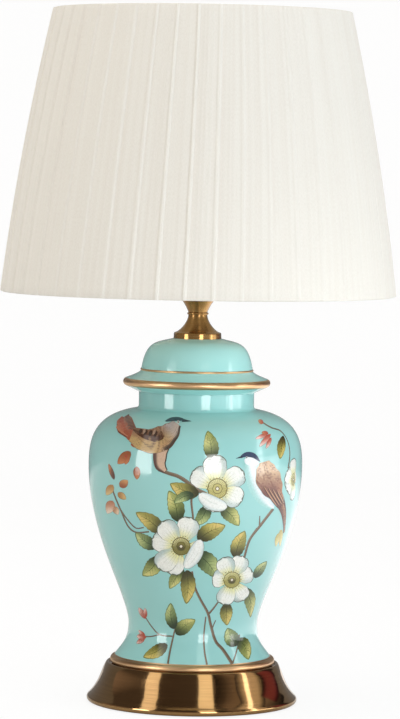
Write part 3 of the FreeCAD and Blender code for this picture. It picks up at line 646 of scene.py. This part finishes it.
class Painting:
    """Strokes of paint, each a thin strip of mesh that lies on the glaze, later ones on top."""

    def __init__(self):
        self.vertices, self.faces, self.colours, self.normals = [], [], [], []
        self.turn = 0.0
        self.level = 0

    def dab(self, x, z):
        radius, slope = jar_radius(z)
        share = abs(x) / radius
        if share > ROUND_FROM:
            share = ROUND_FROM + ROUND_REACH * (1 - exp((ROUND_FROM - share) / ROUND_REACH))
        angle = FRONT + self.turn + copysign(asin(share), x)
        c, s = cos(angle), sin(angle)
        length = hypot(1, slope)
        lift = LIFT + LIFT_PER_LEVEL * self.level
        self.vertices.append(((radius + lift / length) * c * MM, (radius + lift / length) * s * MM,
                              (z - lift * slope / length) * MM))
        self.normals.append((c / length, s / length, -slope / length))

    def stroke(self, spine, width, colour, beside=False):
        """A strip along a smooth line. width(u) and colour(u, v) take the share along and across,
        and the colour may also be a plain one."""
        colour = varied(colour)
        if not beside:
            self.level += 1
        line = through(spine, FACET)
        count = len(line)
        across = max(2, ceil(2 * max(width(n / 12) for n in range(13)) / FACET))
        first = len(self.vertices)
        for k, (x, z) in enumerate(line):
            u = k / (count - 1)
            before = line[max(0, k - 1)]
            after = line[min(count - 1, k + 1)]
            length = dist(before, after) or 1.0
            nx, nz = -(after[1] - before[1]) / length, (after[0] - before[0]) / length
            half = max(0.04, width(u))
            for m in range(across + 1):
                v = -1 + 2 * m / across
                self.dab(x + nx * half * v, z + nz * half * v)
                self.colours.append(linear(colour(u, v)))
        self.faces += quads(count, across + 1, turned=True, first=first)

    def build(self, name):
        piece = new_object(name, self.vertices, self.faces, 180.0)
        layer = piece.data.color_attributes.new("Paint", "FLOAT_COLOR", "POINT")
        for n, colour in enumerate(self.colours):
            layer.data[n].color = colour
        piece.data.normals_split_custom_set_from_vertices(self.normals)
        piece.data.materials.append(PAINTING)
        return piece


def through(points, step):
    """A smooth line through the points, with a place about every step."""
    if len(points) == 2:
        points = [points[0], between(points[0], points[1], 0.5), points[1]]
    ends = [tuple(2 * a - b for a, b in zip(points[0], points[1]))] + list(points)
    ends.append(tuple(2 * a - b for a, b in zip(points[-1], points[-2])))
    line = [points[0]]
    for p0, p1, p2, p3 in zip(ends, ends[1:], ends[2:], ends[3:]):
        parts = max(3, ceil(dist(p1, p2) / step))
        for n in range(1, parts + 1):
            t = n / parts
            line.append(tuple(0.5 * (2 * b + (c - a) * t + (2 * a - 5 * b + 4 * c - d) * t * t
                                     + (3 * b - a - 3 * c + d) * t ** 3)
                              for a, b, c, d in zip(p0, p1, p2, p3)))
    return line


def varied(colour):
    """A colour that may vary along and across a stroke. A plain colour stays as it is."""
    return colour if callable(colour) else lambda u, v: colour


def blend(a, b, t, most=1.0):
    """From a, where t is 0 or less, softly towards b, where it is 1 or more."""
    return between(a, b, most * smooth(t))


def tapered(start, end):
    return lambda u: start + (end - start) * u


def swelling(half, peak=0.45, power=0.8, start=0.0):
    """A half width that rises to its largest at the peak and falls back to nothing."""
    bend = log(0.5) / log(peak)
    return lambda u: max(start * (1 - u), half * sin(pi * min(1, max(0, u)) ** bend) ** power)


def stations(*places):
    """A half width that runs smoothly through (share, width) places."""
    def width(u):
        for (a, wa), (b, wb) in zip(places, places[1:]):
            if u <= b:
                return wa + (wb - wa) * smooth((u - a) / (b - a))
        return places[-1][1]
    return width


def wider(width, extra):
    return lambda u: width(u) + extra


def faded(colour, inner=0.55):
    """The colour, melting into the glaze towards both edges."""
    colour = varied(colour)
    return lambda u, v: blend(colour(u, v), GLAZE_TONE, (abs(v) - inner) / (1 - inner), 0.9)


GLAZE_TONE = (164, 217, 212)
DARK_LINE = (70, 58, 46)
STEM = (118, 98, 80)
STEM_SCALE = 0.85


def side_point(a, b, share, bow):
    """A point beside the line from a to b, bow to its left."""
    length = dist(a, b)
    nx, nz = -(b[1] - a[1]) / length, (b[0] - a[0]) / length
    x, z = between(a, b, share)
    return x + nx * bow, z + nz * bow


LEAF_TONES = (
    ((50, 62, 34), (146, 158, 84), (216, 210, 134)),
    ((62, 60, 34), (158, 156, 76), (222, 198, 116)),
    ((46, 60, 40), (122, 144, 86), (200, 208, 142)),
)


def leaf(paint, n, base, tip, half, bow):
    """A leaf with a dark foot, one side in shade, a pale tip, veins and a finely toothed edge."""
    paint.level = LEAF_LEVEL + 4 * (n % 3)
    dark, middle, pale = LEAF_TONES[n % 3]
    spine = [base, side_point(base, tip, 0.5, bow), tip]
    shape = swelling(half, 0.42, 0.75, 0.5)

    def toothed(extra):
        return lambda u: (shape(u) + extra) * (1 + 0.045 * sin(38 * u + n))

    def colour(u, v):
        tone = blend(dark, middle, u * 1.6)
        tone = between(tone, pale, smooth((u - 0.2) / 0.6) * (0.35 + 0.65 * smooth(0.5 + v)))
        return between(tone, dark, 0.55 * smooth(0.2 - 1.2 * v) * (1 - u))

    paint.stroke([base, spine[1], between(base, tip, 1.04)], toothed(0.35),
                 lambda u, v: blend(dark, middle, u * 1.3, 0.75))
    paint.stroke(spine, toothed(0.0), colour)
    centre = through(spine, 1.0)
    paint.stroke([base, spine[1], between(spine[1], tip, 0.7)], tapered(0.4, 0.1),
                 lambda u, v: between(dark, middle, 0.3 * u))
    for share in (0.24, 0.4, 0.55, 0.68):
        root = centre[int(share * (len(centre) - 1))]
        for side in (-1, 1):
            end = side_point(base, tip, share + 0.15, bow * 0.75 + side * half * 0.66)
            paint.stroke([root, end], tapered(0.18, 0.06), between(dark, middle, 0.45), beside=True)


def petal(paint, centre, angle, outer, half, shade):
    base = away(centre, 2.0, angle)
    tip = away(centre, outer, angle)

    def shape(extra):
        def width(u):
            round_end = sqrt(max(0.0, 1 - max(0.0, (u - 0.66) / 0.34) ** 2.4))
            waved = 1 + 0.02 * sin(23 * u + angle)
            return (half + extra) * (0.34 + 0.66 * smooth(u / 0.6)) * round_end * waved
        return width

    def colour(u, v):
        tone = blend((232, 230, 168), (246, 247, 240), (u - 0.22) / 0.4)
        shaded = (0.6 + 0.25 * shade) * smooth(-1.5 * v - 0.35)
        tone = between(tone, (178, 198, 196), shaded * smooth(u / 0.4))
        return between(tone, (206, 218, 214), 0.45 * smooth((u - 0.8) / 0.2) * smooth(0.4 + v))

    paint.stroke([base, between(base, tip, 1.03)], shape(0.36), (104, 112, 98))
    paint.stroke([base, tip], shape(0.0), colour)
    paint.level += 1
    for spread in (-0.7, -0.35, 0.0, 0.35, 0.7):
        start = side_point(base, tip, 0.2, spread * half * 0.42)
        end = side_point(base, tip, 0.74 - 0.12 * abs(spread), spread * half * 1.0)
        paint.stroke([start, end], tapered(0.16, 0.07), (190, 198, 172), beside=True)


def folded_petal(paint, spine, half):
    """A petal that folds over the flower's near side, seen by its back."""
    shape = swelling(half, 0.5, 0.42)
    paint.stroke(spine, wider(shape, 0.32), (126, 132, 116))
    paint.stroke(spine, shape,
                 lambda u, v: blend((246, 248, 244), (190, 208, 208), abs(v) * 1.6 - 0.75, 0.75))
    for side in (-0.3, 0.25):
        places = [(x + side * half, z - side * half * 0.4) for x, z in spine]
        paint.stroke([between(places[0], places[1], 0.4), places[1], between(places[1], places[2], 0.5)],
                     tapered(0.16, 0.06), (206, 216, 206), beside=side > 0)


def disc_at(paint, centre, radius, colour, beside=False):
    left = (centre[0] - radius, centre[1])
    right = (centre[0] + radius, centre[1])
    paint.stroke([left, right], lambda u: radius * sqrt(max(0.0, 1 - (2 * u - 1) ** 2)), colour, beside)


def flower_heart(paint, centre, radius, tone, core):
    """A ribbed disc with a dark rim, a ring of stamen tips and a small middle."""
    rim = between(tone, (84, 78, 36), 0.6)
    for n in range(22):
        reach = radius * (1.1 + 0.07 * sin(5 * n))
        disc_at(paint, away(centre, reach, 360 / 22 * n + 5 * sin(7 * n)), 0.5,
                (150, 138, 76) if n % 3 else (206, 182, 96), n > 0)
    disc_at(paint, centre, radius, rim)
    disc_at(paint, centre, radius * 0.9, lambda u, v: blend(tone, (232, 226, 172), 0.35 + v / 2 - u / 4))
    paint.level += 1
    for n in range(28):
        near, far = (away(centre, radius * r, 360 / 28 * n) for r in (0.5, 0.86))
        paint.stroke([near, far], tapered(0.12, 0.2), between(rim, tone, 0.35), beside=True)
    disc_at(paint, centre, radius * 0.52, rim)
    disc_at(paint, centre, radius * 0.44, lambda u, v: blend(core, tone, 0.4 + v / 2))
    disc_at(paint, centre, radius * 0.22, (104, 84, 48))
    disc_at(paint, centre, radius * 0.14, (240, 234, 214))


def bud(paint, base, tip, half, colour, pale):
    shape = swelling(half, 0.45, 0.7)
    paint.stroke([base, tip], wider(shape, 0.25), between(colour, DARK_LINE, 0.4))
    paint.stroke([base, tip], shape, lambda u, v: blend(colour, pale, u * 1.1 - 0.1 + v * 0.25))


def stem(paint, points, start, end):
    paint.level = STEM_LEVEL
    start, end = STEM_SCALE * start, STEM_SCALE * end
    paint.stroke(points, tapered(start + 0.25, end + 0.2), between(STEM, DARK_LINE, 0.65))
    paint.stroke(points, tapered(start, end), lambda u, v: blend(STEM, (176, 156, 132), v, 0.7))


def perched_bird(paint):
    """The brown bird on the left, facing right, with a thin dark crest."""
    paint.level = BIRD_LEVEL
    root = (-54, 246.5)
    feathers = (((-70.5, 255), 3.4, (192, 120, 90)), ((-71, 260), 3.8, (170, 86, 66)),
                ((-63.5, 262.8), 3.4, (104, 70, 62)))
    for tip, half, tone in feathers:
        paint.stroke([root, between(root, tip, 0.6), tip],
                     stations((0, 4.6), (0.75, half + 1.4), (1, half * 0.7)), (128, 78, 64))
    for tip, half, tone in feathers:
        paint.stroke([root, between(root, tip, 0.6), tip], stations((0, 3.4), (0.75, half), (1, half * 0.7)),
                     lambda u, v: between(tone, (212, 150, 118),
                                          0.5 * smooth(v) + 0.2 * sin(30 * u + 3 * v) ** 2))
    for a, b in (((-54, 249), (-64.5, 250.5)), ((-52.5, 245.5), (-61.5, 245)),
                 ((-50.5, 241), (-57.5, 239.5))):
        paint.stroke([a, b], swelling(2.9, 0.45, 0.7), (172, 98, 74))
    body = [(-57.5, 247), (-47.5, 243.8), (-37.5, 243.8), (-28, 247.4), (-21, 253.6), (-17, 259.4)]
    girth = stations((0, 4.6), (0.2, 8), (0.42, 10.2), (0.62, 10.4), (0.8, 8), (1, 4.2))
    dark = (64, 60, 58)
    thigh = [(-31, 243), (-31.8, 231), (-31.4, 223.6), (-26.5, 218)]
    trunk = stations((0, 8), (0.42, 5.7), (0.75, 4.6), (1, 2))
    paint.stroke([(x + 0.5, z) for x, z in thigh], wider(trunk, 0.5), dark)
    paint.stroke(thigh, trunk, lambda u, v: blend((216, 184, 158), (100, 74, 66), -0.35 - 2.0 * v))
    paint.stroke(body, wider(girth, 0.3), (112, 86, 70))

    def plumage(u, v):
        head = smooth((u - 0.62) / 0.25)
        belly = between((206, 174, 120), (206, 190, 178), head)
        back = between((170, 130, 100), (190, 180, 176), head)
        tone = blend(belly, back, v * 1.1 + 0.25)
        barred = 0.2 * max(0, sin(u * 58 + v * 8) * sin(v * 15 + 2)) * (1 - head)
        tone = between(tone, (122, 84, 60), barred)
        tone = between(tone, (214, 160, 132), 0.6 * smooth((u - 0.4) / 0.2) * (1 - head) * smooth(-v))
        return between(tone, dark, 0.95 * smooth((-v - 0.58) / 0.24) * smooth((u - 0.5) / 0.12))

    paint.stroke(body, girth, plumage)
    wing = [(-27.5, 248.8), (-36, 248.2), (-45.5, 249.8), (-56, 253)]
    paint.stroke(wing, swelling(4.6, 0.38, 0.55),
                 lambda u, v: blend((88, 56, 40), (136, 98, 74), 0.3 - 1.4 * v))
    for n in range(5):
        top = (-30.0 - 4.4 * n, 252.6 + 0.2 * n)
        paint.stroke([top, (top[0] - 2.6, 245.8 + 1.0 * n)], swelling(1.5, 0.4, 0.6), (64, 42, 34))
        if n % 2:
            paint.stroke([(top[0] - 1.6, top[1] + 0.4), (top[0] - 3.4, top[1] - 3.6)],
                         swelling(1.1, 0.35, 0.6), (172, 142, 120))
    disc_at(paint, (-15.8, 260.4), 1.3, (232, 228, 220))
    disc_at(paint, (-15.8, 260.4), 0.65, (20, 18, 20))
    paint.stroke([(-27.5, 260.6), (-21.2, 262.4), (-14.3, 262.7), (-9.3, 261.9)],
                 swelling(1.5, 0.5, 0.5), (58, 66, 76))
    paint.stroke([(-12.5, 261.9), (-4.2, 261.3)], tapered(1.3, 0.12), (54, 56, 62))


def resting_bird(paint):
    """The bird on the right, seen from behind, with a white breast and a speckled wing."""
    paint.level = BIRD_LEVEL
    tail = [(73, 196), (80.5, 180), (87, 159.5)]
    paint.stroke(tail, tapered(5.4, 1.7), (104, 66, 54))
    for shift, tone in ((-1.7, (126, 80, 62)), (-0.2, (168, 116, 84)), (1.3, (206, 150, 106))):
        paint.stroke([(x + shift * (1.4 - 0.3 * n), z + 0.5) for n, (x, z) in enumerate(tail)],
                     tapered(1, 0.5), tone, beside=True)
    breast = [(47.5, 231), (51.5, 222), (56, 209), (62, 196), (70.5, 184)]
    paint.stroke(breast, swelling(10.2, 0.45, 0.5), faded((214, 236, 238), 0))
    down = faded(lambda u, v: blend((240, 245, 247), (206, 226, 232), 0.3 + 0.7 * v), 0.3)
    paint.stroke(breast, swelling(8.2, 0.45, 0.5), down)
    wing = [(61, 226.5), (64, 214), (69.5, 201), (77.5, 186)]
    shape = stations((0, 4.4), (0.14, 8.6), (0.34, 11.4), (0.55, 9.8), (0.8, 5.6), (1, 3.4))
    paint.stroke(wing, wider(shape, 0.3), faded((112, 78, 66), 0.8))

    def speckled(u, v):
        tone = blend((214, 178, 142), (124, 78, 70), u * 1.7 - 0.25 - 0.2 * v)
        tone = between(tone, (208, 150, 108), 0.7 * smooth((v - 0.1) * 1.6) * smooth((u - 0.4) * 3))
        dark = sin(u * 41 + 7 * v + 2 * sin(9 * v)) * sin(v * 11 + 3 * sin(u * 21))
        tone = blend(tone, (108, 66, 58), 2.4 * dark, 0.5)
        pale = sin(u * 47 + 2 + 3 * v) * sin(v * 17 + u * 9)
        return between(tone, (236, 214, 180), 0.5 * smooth(2.4 * pale - 0.9) * smooth(1.3 - 2 * u))

    paint.stroke(wing, shape, speckled)
    for n in range(4):
        start = (60.5 + 4.0 * n, 204.5 - 1.4 * n)
        end = (75.0 + 2.0 * n, 183.0 + 0.8 * n)
        paint.stroke([start, end], swelling(1.3, 0.5, 0.6), (88, 54, 48))
        paint.stroke([(start[0] + 0.6, start[1]), between(start, end, 0.9)],
                     swelling(0.5, 0.5, 0.6), (198, 152, 118))
    paint.stroke([(43, 228.8), (48.5, 227.4), (56, 225)], swelling(3.9, 0.45, 0.55), (242, 247, 248))
    paint.stroke([(39.5, 231.4), (45.1, 233.4), (51.5, 232.2), (57.4, 226.6)],
                 swelling(2.3, 0.42, 0.7), (66, 78, 102))
    paint.stroke([(41.4, 231.6), (35.6, 230.2)], tapered(1, 0.1), (60, 64, 76))
    disc_at(paint, (45.2, 230.8), 0.9, (226, 230, 230))
    disc_at(paint, (45.2, 230.8), 0.5, (18, 18, 22))


# Half widths at the start and the end, then the places that a stem runs through
STEMS = (
    (1.3, 0.9, 36, 43.6, 27.7, 55.1, 20.6, 63.4, 16.2, 77.6, 13.2, 89.3, 6.1, 102.5, 1.1, 114.2, -1.5, 128),
    (0.8, 0.5, 14.5, 88.5, 18.5, 93.5, 23, 100),
    (0.7, 0.45, 13.3, 43.6, 11, 54.2, 10.1, 67.7, 11.6, 85.5),
    (0.5, 0.3, 19.6, 66, 17.4, 73, 20.4, 82),
    (0.7, 0.5, -21.6, 43.6, -20.2, 52.2, -18.3, 61.5, -15, 77.1),
    (0.45, 0.35, -18, 66.8, -29.5, 67.5, -36.7, 73.8, -42.8, 82),
    (0.4, 0.3, -29.5, 67.5, -37, 65, -43.8, 64),
    (0.5, 0.35, 36.2, 43.6, 40.3, 55.5, 42.3, 67.4),
    (0.9, 1.3, 44.8, 140, 49.4, 156.4, 59, 169.4, 70, 183.5),
    (0.7, 0.2, 58, 168, 58, 178),
    (0.5, 0.2, 52, 161.5, 55.5, 167),
    (0.5, 0.6, -74.5, 201.5, -71, 192, -65.5, 180, -59, 166.5, -51.5, 161.5, -40, 163),
    (0.4, 0.4, -66, 181, -60, 173, -52, 165.5, -44.7, 166.5),
    (1.5, 1.8, -32, 219.4, -23, 216.4, -15.3, 214.2, -7.4, 209.6, -0.5, 204, 9.5, 199),
    (0.9, 0.7, -2, 201, -2.9, 191.8, -1.4, 179.1, -0.5, 168),
    (0.3, 0.6, 58, 260.5, 67.6, 255.1, 77.7, 251.5, 85, 243, 87, 232.1, 84, 218.8),
)

# Foot, tip, half width and bow
LEAVES = (
    (14.5, 229.5, 10.6, 253, 6.4, -1), (3.5, 199, -21, 207, 6.6, 1.6), (-1, 198, -17.5, 190.5, 4.2, -2),
    (-14.4, 173.5, -22.6, 200, 7, -2), (-27.5, 162.5, -51, 179, 6.8, -1.6), (-33, 149, -51.5, 160.5, 6, 1.4),
    (-31.5, 140.5, -45, 122, 6.8, 2.2), (3.1, 157.5, 26.5, 170, 7.2, 1.6),
    (2.4, 145.5, 21.4, 122.5, 8.2, 1.8),
    (-9.1, 130, -20.6, 111.8, 5.2, -1), (-5.6, 129, -6, 98.6, 6.4, 1.2), (11.8, 188.5, 0.6, 171, 5.6, 1.6),
    (23, 187.5, 39, 170.5, 6.4, 1.6), (36.6, 140.5, 44.6, 164, 6.2, 1.2), (54.6, 120, 65.2, 134, 4.2, 0.6),
    (46.4, 111.5, 52.8, 82.8, 5.2, 2), (30.5, 98, 30.7, 77.6, 5.4, -0.8), (-16.6, 73.5, -19.8, 96.6, 5, 1.4),
    (-14.6, 68.8, 1.6, 82.2, 6, 1.2), (-22.6, 59.4, -43, 47.4, 4.8, 1), (40, 58, 31.4, 73.6, 6.2, 1),
    (41.4, 64, 50.4, 46.4, 5.6, 1.6), (79.4, 247.5, 75.6, 228.8, 4, -0.8),
)

# Foot, tip, half width, colour and tint at the tip
RED, ROSE, BROWN, TAN, CREAM = (184, 84, 66), (240, 208, 198), (160, 92, 60), (208, 138, 94), (230, 220, 160)
BUDS = (
    (60, 259, 55.6, 261.6, 1.5, RED, TAN), (66.5, 250, 56.6, 240, 2, RED, ROSE),
    (67, 247, 62.6, 238, 1.6, RED, ROSE), (64, 250.5, 53, 246.8, 1.5, RED, ROSE),
    (64.5, 250.5, 58.5, 252, 1.4, RED, TAN), (-57.6, 233.5, -69, 222, 4, BROWN, TAN),
    (-60, 231.5, -62, 222, 2.6, RED, TAN), (-51.8, 221, -51.4, 209.5, 3, BROWN, TAN),
    (-72, 207.5, -77.2, 221, 1.9, (104, 72, 64), TAN),
    (-66.8, 201.5, -59.6, 208, 3.4, BROWN, (222, 166, 110)),
    (-73, 202.5, -79.4, 192.5, 3.2, (188, 140, 84), (226, 196, 140)),
    (-68.5, 196, -61, 191, 2.8, (178, 128, 76), (222, 188, 124)),
    (-73, 188, -79, 175.5, 4.4, (190, 128, 96), (244, 224, 204)),
    (-72, 183, -68, 176, 2.8, (184, 132, 92), (240, 216, 190)), (-42.2, 80.5, -48.8, 90, 2.5, RED, ROSE),
    (-42.4, 81.5, -43, 90.5, 1.6, RED, ROSE), (-41.6, 63.8, -50.6, 63, 2.5, RED, ROSE),
    (-43, 62.6, -50.4, 57, 1.8, RED, ROSE), (-42.6, 64.6, -49, 68.6, 1.5, RED, ROSE),
    (79, 163, 84.6, 147, 4, (196, 180, 104), CREAM), (76.8, 160, 75, 147.6, 3, (196, 180, 104), CREAM),
)

# Middle, radius and colours of the heart, then angle, reach and half width of each petal, and
# the spine of a petal that folds over
OLIVE, MOSS, STRAW, DEEP = (196, 186, 112), (134, 126, 66), (178, 170, 98), (84, 80, 46)
FLOWERS = (
    ((19.8, 203.7), 9.2, OLIVE, OLIVE,
     ((-100, 21, 10), (33, 27, 9.2), (-27, 24.5, 9.4), (146, 26.5, 9.4), (97, 29.5, 10.2)),
     [(3.6, 198.6), (15.2, 191), (28.6, 187)]),
    ((-11.4, 151), 8.4, MOSS, DEEP,
     ((-20, 20, 10), (-108, 27.5, 8.6), (169, 26, 9.2), (-134, 29, 9.6), (72, 27.5, 9.6), (129, 27.5, 9.2)),
     [(-7.6, 131), (0.8, 143.5), (5.8, 157.5)]),
    ((34.2, 119.7), 7.8, STRAW, DEEP,
     ((16, 19.5, 7.8), (-61, 23, 8), (-108, 24, 8), (172, 17.5, 8.2), (67, 23.5, 8), (112, 22.5, 8)), None),
    ((95, 208), 5.5, STRAW, MOSS,
     ((20, 9, 6), (215, 15, 8), (-80, 19, 8), (150, 15, 8), (90, 19, 8)), None),
)


def spray(paint):
    """One whole side of the jar: stems, leaves, buds, flowers and two birds."""
    for start, end, *path in STEMS:
        stem(paint, list(zip(path[::2], path[1::2])), start, end)
    for n, (x0, z0, x1, z1, half, bow) in enumerate(LEAVES):
        leaf(paint, n, (x0, z0), (x1, z1), half, bow)
    for x0, z0, x1, z1, half, colour, pale in BUDS:
        paint.level = BUD_LEVEL
        bud(paint, (x0, z0), (x1, z1), half, colour, pale)
    for centre, heart, tone, core, petals, fold in FLOWERS:
        paint.level = FLOWER_LEVEL
        for n, (angle, outer, half) in enumerate(petals):
            petal(paint, centre, angle, outer, half, n % 2)
        flower_heart(paint, centre, heart, tone, core)
        if fold:
            folded_petal(paint, fold, 6.2)
    perched_bird(paint)
    resting_bird(paint)


painting = Painting()
for painting.turn in (0.0, pi):
    spray(painting)
strokes = painting.build("jar_painting")
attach(strokes, "stand")


# Studio

def lamp(name, kind, place, aim, **settings):
    light = bpy.data.lights.new(name, kind)
    for key, value in settings.items():
        setattr(light, key, value)
    holder = placed(name, light)
    holder.location = place
    holder.rotation_euler = aim.to_track_quat("-Z", "Y").to_euler()
    return holder


def panel(name, azimuth, distance, low, high, width, radiance, colour, seen_by, lean=0.0):
    """An upright softbox round the lamp. Azimuth 0 is the camera's side, positive to its right."""
    a = radians(azimuth)
    outward = Vector((sin(a), -cos(a), 0))
    place = outward * distance + Vector((0, 0, (low + high) / 2))
    holder = lamp(name, "AREA", place, -outward + Vector((0, 0, -lean)), shape="RECTANGLE", size=width,
                  size_y=high - low, energy=radiance * pi * width * (high - low), color=colour)
    holder.visible_camera = False
    holder.visible_diffuse = seen_by != "reflections"
    holder.visible_glossy = seen_by != "surfaces"


def lid_light():
    """A soft spot on the lid and the jar's neck, which the shade keeps the high lights from."""
    place = Vector((0.95, -0.78, 0.22))
    holder = lamp("lid_light", "SPOT", place, Vector((0.01, -0.05, 0.28)) - place, energy=17.0,
                  color=(0.93, 0.98, 1.0), spot_size=radians(18), spot_blend=1.0, shadow_soft_size=0.15)
    holder.visible_glossy = False


FLOOR_GAP = 0.0002
PAPER_LIFT = 0.82
PAPER_GLOW = 1.06


def paper_material():
    """White studio paper, lifted where the camera sees it, lit on the right in reflections,
    and clear from behind and where it touches, so that the lamp is seen from every side."""
    shader = Shader("studio_paper", Specular_IOR_Level=0.1, Roughness=0.9)
    shader.drive("Base Color", shader.two_tone(shader.noise(3.0, 4.0), (236, 236, 236), (240, 240, 240)))
    path = shader.node("LightPath").outputs
    geometry = shader.node("NewGeometry").outputs
    x, y, _ = shader.split(geometry["Position"])
    lifted = shader.combined("MULTIPLY", path["Is Camera Ray"], PAPER_LIFT)
    seen = shader.mixed(lifted, shader.surface.outputs[0], shader.glow("Emission", PAPER_GLOW))
    changed = shader.combined("MAXIMUM", shader.ranged(x, 0.08, 0.36), shader.ranged(y, 1.0, 2.0))
    mirrored = shader.glow("Emission", shader.ranged(y, 0.9, 2.0, 2.0, 0.24))
    both = shader.mixed(shader.combined("MULTIPLY", path["Is Glossy Ray"], changed), seen, mirrored)
    touching = shader.combined("LESS_THAN", path["Ray Length"], 2 * FLOOR_GAP)
    clear = shader.combined("MAXIMUM", geometry["Backfacing"], touching)
    return shader.replaced(shader.mixed(clear, both, shader.node("BsdfTransparent").outputs[0]))


def floor_and_sweep():
    """A pale floor that curves up into a backdrop behind the lamp."""
    side = [(-6.0, -FLOOR_GAP), (2.0, -FLOOR_GAP)] + arc(2.0, 1.5, 1.5, -84, 0, 14) + [(3.5, 5.0)]
    vertices = []
    for y, z in side:
        vertices += [(-7.0, y, z), (7.0, y, z)]
    floor = new_object("studio_floor", vertices, quads(len(side), 2), 60.0)
    floor.data.materials.append(paper_material())


def studio_world():
    """White to the camera, soft grey light on the object, and a dim room in its reflections."""
    world = bpy.data.worlds.new("studio")
    bpy.context.scene.world = world
    world.use_nodes = True
    world.node_tree.nodes.clear()
    nodes = Nodes(world.node_tree)
    path = nodes.node("LightPath").outputs
    _, y, z = nodes.split(nodes.node("TexCoord").outputs["Generated"])
    behind = nodes.ranged(y, -0.3, 0.35, 0.35, 0.40)
    level = nodes.combined("MULTIPLY", behind, nodes.ranged(z, 0.25, 0.5, 1.0, 0.3))
    soft = nodes.glow("Background", 0.715, (1.0, 0.972, 0.93))
    lit = nodes.mixed(path["Is Glossy Ray"], soft, nodes.glow("Background", level, (1.0, 0.85, 0.8)))
    seen = nodes.mixed(path["Is Camera Ray"], lit, nodes.glow("Background", 1.0))
    nodes.node("OutputWorld", {"Surface": seen})


def camera():
    """Level with the shade, 3.17 m away, looking a little down, with the photo's slight tilt."""
    data = bpy.data.cameras.new("camera")
    data.lens = 175.2
    data.sensor_width = 36.0
    holder = placed("camera", data)
    pitch = Matrix.Rotation(radians(90 - 3.164), 4, "X")
    roll = Matrix.Rotation(radians(0.95), 4, "Z")
    holder.matrix_world = Matrix.Translation((0.0026, -3.17, 0.4875)) @ pitch @ roll
    bpy.context.scene.camera = holder


def card(name, distance, soft, radiance, colour, edges):
    """A bent strip of light, seen only in reflections. Its edges are given as azimuth and
    elevation from the plinth, the left and the right one, from the lowest place up. A soft strip
    fades at its sides."""
    vertices = []
    columns = 9
    for edge in edges:
        for n in range(columns):
            azimuth, elevation = (radians(angle) for angle in between(edge[:2], edge[2:], n / (columns - 1)))
            flat = distance * cos(elevation)
            vertices.append((flat * sin(azimuth), -flat * cos(azimuth), 0.02 + distance * sin(elevation)))
    strip = new_object(name, vertices, quads(len(edges), columns))
    level = strip.data.attributes.new("Share", "FLOAT", "POINT")
    for k in range(len(vertices)):
        inside = 1 - abs(2 * (k % columns) / (columns - 1) - 1)
        level.data[k].value = radiance * (smooth(1.6 * inside) if soft else 1.0)
    shader = Shader(name)
    share = shader.node("Attribute", attribute_name="Share").outputs["Fac"]
    strip.data.materials.append(shader.replaced(shader.glow("Emission", share, colour)))
    strip.visible_camera = strip.visible_diffuse = strip.visible_shadow = False


WINDOWS = (("left", -56, 0.67, 8.0), ("front", 18.5, 0.60, 8.0), ("right", 73, 0.26, 4.0))
for name, azimuth, width, radiance in WINDOWS:
    panel("window_" + name, azimuth, 2.0, 0.0, 0.80, width, radiance, (1, 1, 1), "reflections")

# The left, front and right card are the windows, as the plinth mirrors them from higher up.
for settings in (
    ("card_left", 2.2, False, 2.1, (1.0, 0.99, 0.97),
     ((-62.5, 19, -43.5, 22), (-63, 27, -44.5, 30), (-63.5, 31, -44.5, 33.5), (-69, 43, -48.5, 45),
      (-88, 56, -66, 61), (-107, 62, -82, 68))),
    ("card_front", 2.2, False, 2.1, (1.0, 1.0, 0.93),
     ((9, 25, 27, 24), (9.5, 34, 28, 33), (9.5, 36, 28.5, 35), (10, 50, 32, 48.6),
      (17, 73.5, 50.6, 69.5), (40, 82, 90, 78))),
    ("card_right", 2.2, False, 4.2, (1.0, 0.98, 1.0),
     ((71, 18, 78, 16), (72, 26, 78.5, 24), (73, 28, 80, 26.7), (79, 37.7, 85, 36),
      (94, 51, 100, 48), (107, 57, 113, 54))),
    ("card_glow", 2.5, True, 1.0, (1.0, 0.92, 0.84),
     ((58, 16, 102, 16), (60, 30, 106, 30), (76, 48, 124, 48), (90, 66, 150, 66))),
    ("card_dim", 2.7, True, 0.34, (1.0, 0.84, 0.76),
     ((30, 16, 140, 16), (32, 30, 140, 30), (40, 66, 160, 66))),
    ("card_red", 2.3, True, 0.31, (1.0, 0.27, 0.36),
     ((104, 8, 133, 8), (101, 20, 130, 20), (99, 31, 128, 31))),
):
    card(*settings)
panel("veil_right", 80, 2.4, -0.3, 0.5, 1.7, 3.3, (0.95, 0.99, 1.0), "reflections")
panel("key_right", 50, 2.6, 0.2, 1.3, 2.4, 2.5, (0.81, 0.93, 1.06), "surfaces")
panel("fill_front", -25, 3.0, 0.2, 1.4, 2.2, 0.2, (1.0, 0.975, 0.94), "surfaces")
panel("top_left", -80, 0.95, 1.8, 2.8, 1.4, 2.15, (1.0, 0.94, 0.84), "surfaces", 2.0)
lid_light()
floor_and_sweep()
studio_world()
camera()
bpy.context.scene.view_settings.view_transform = "Standard"
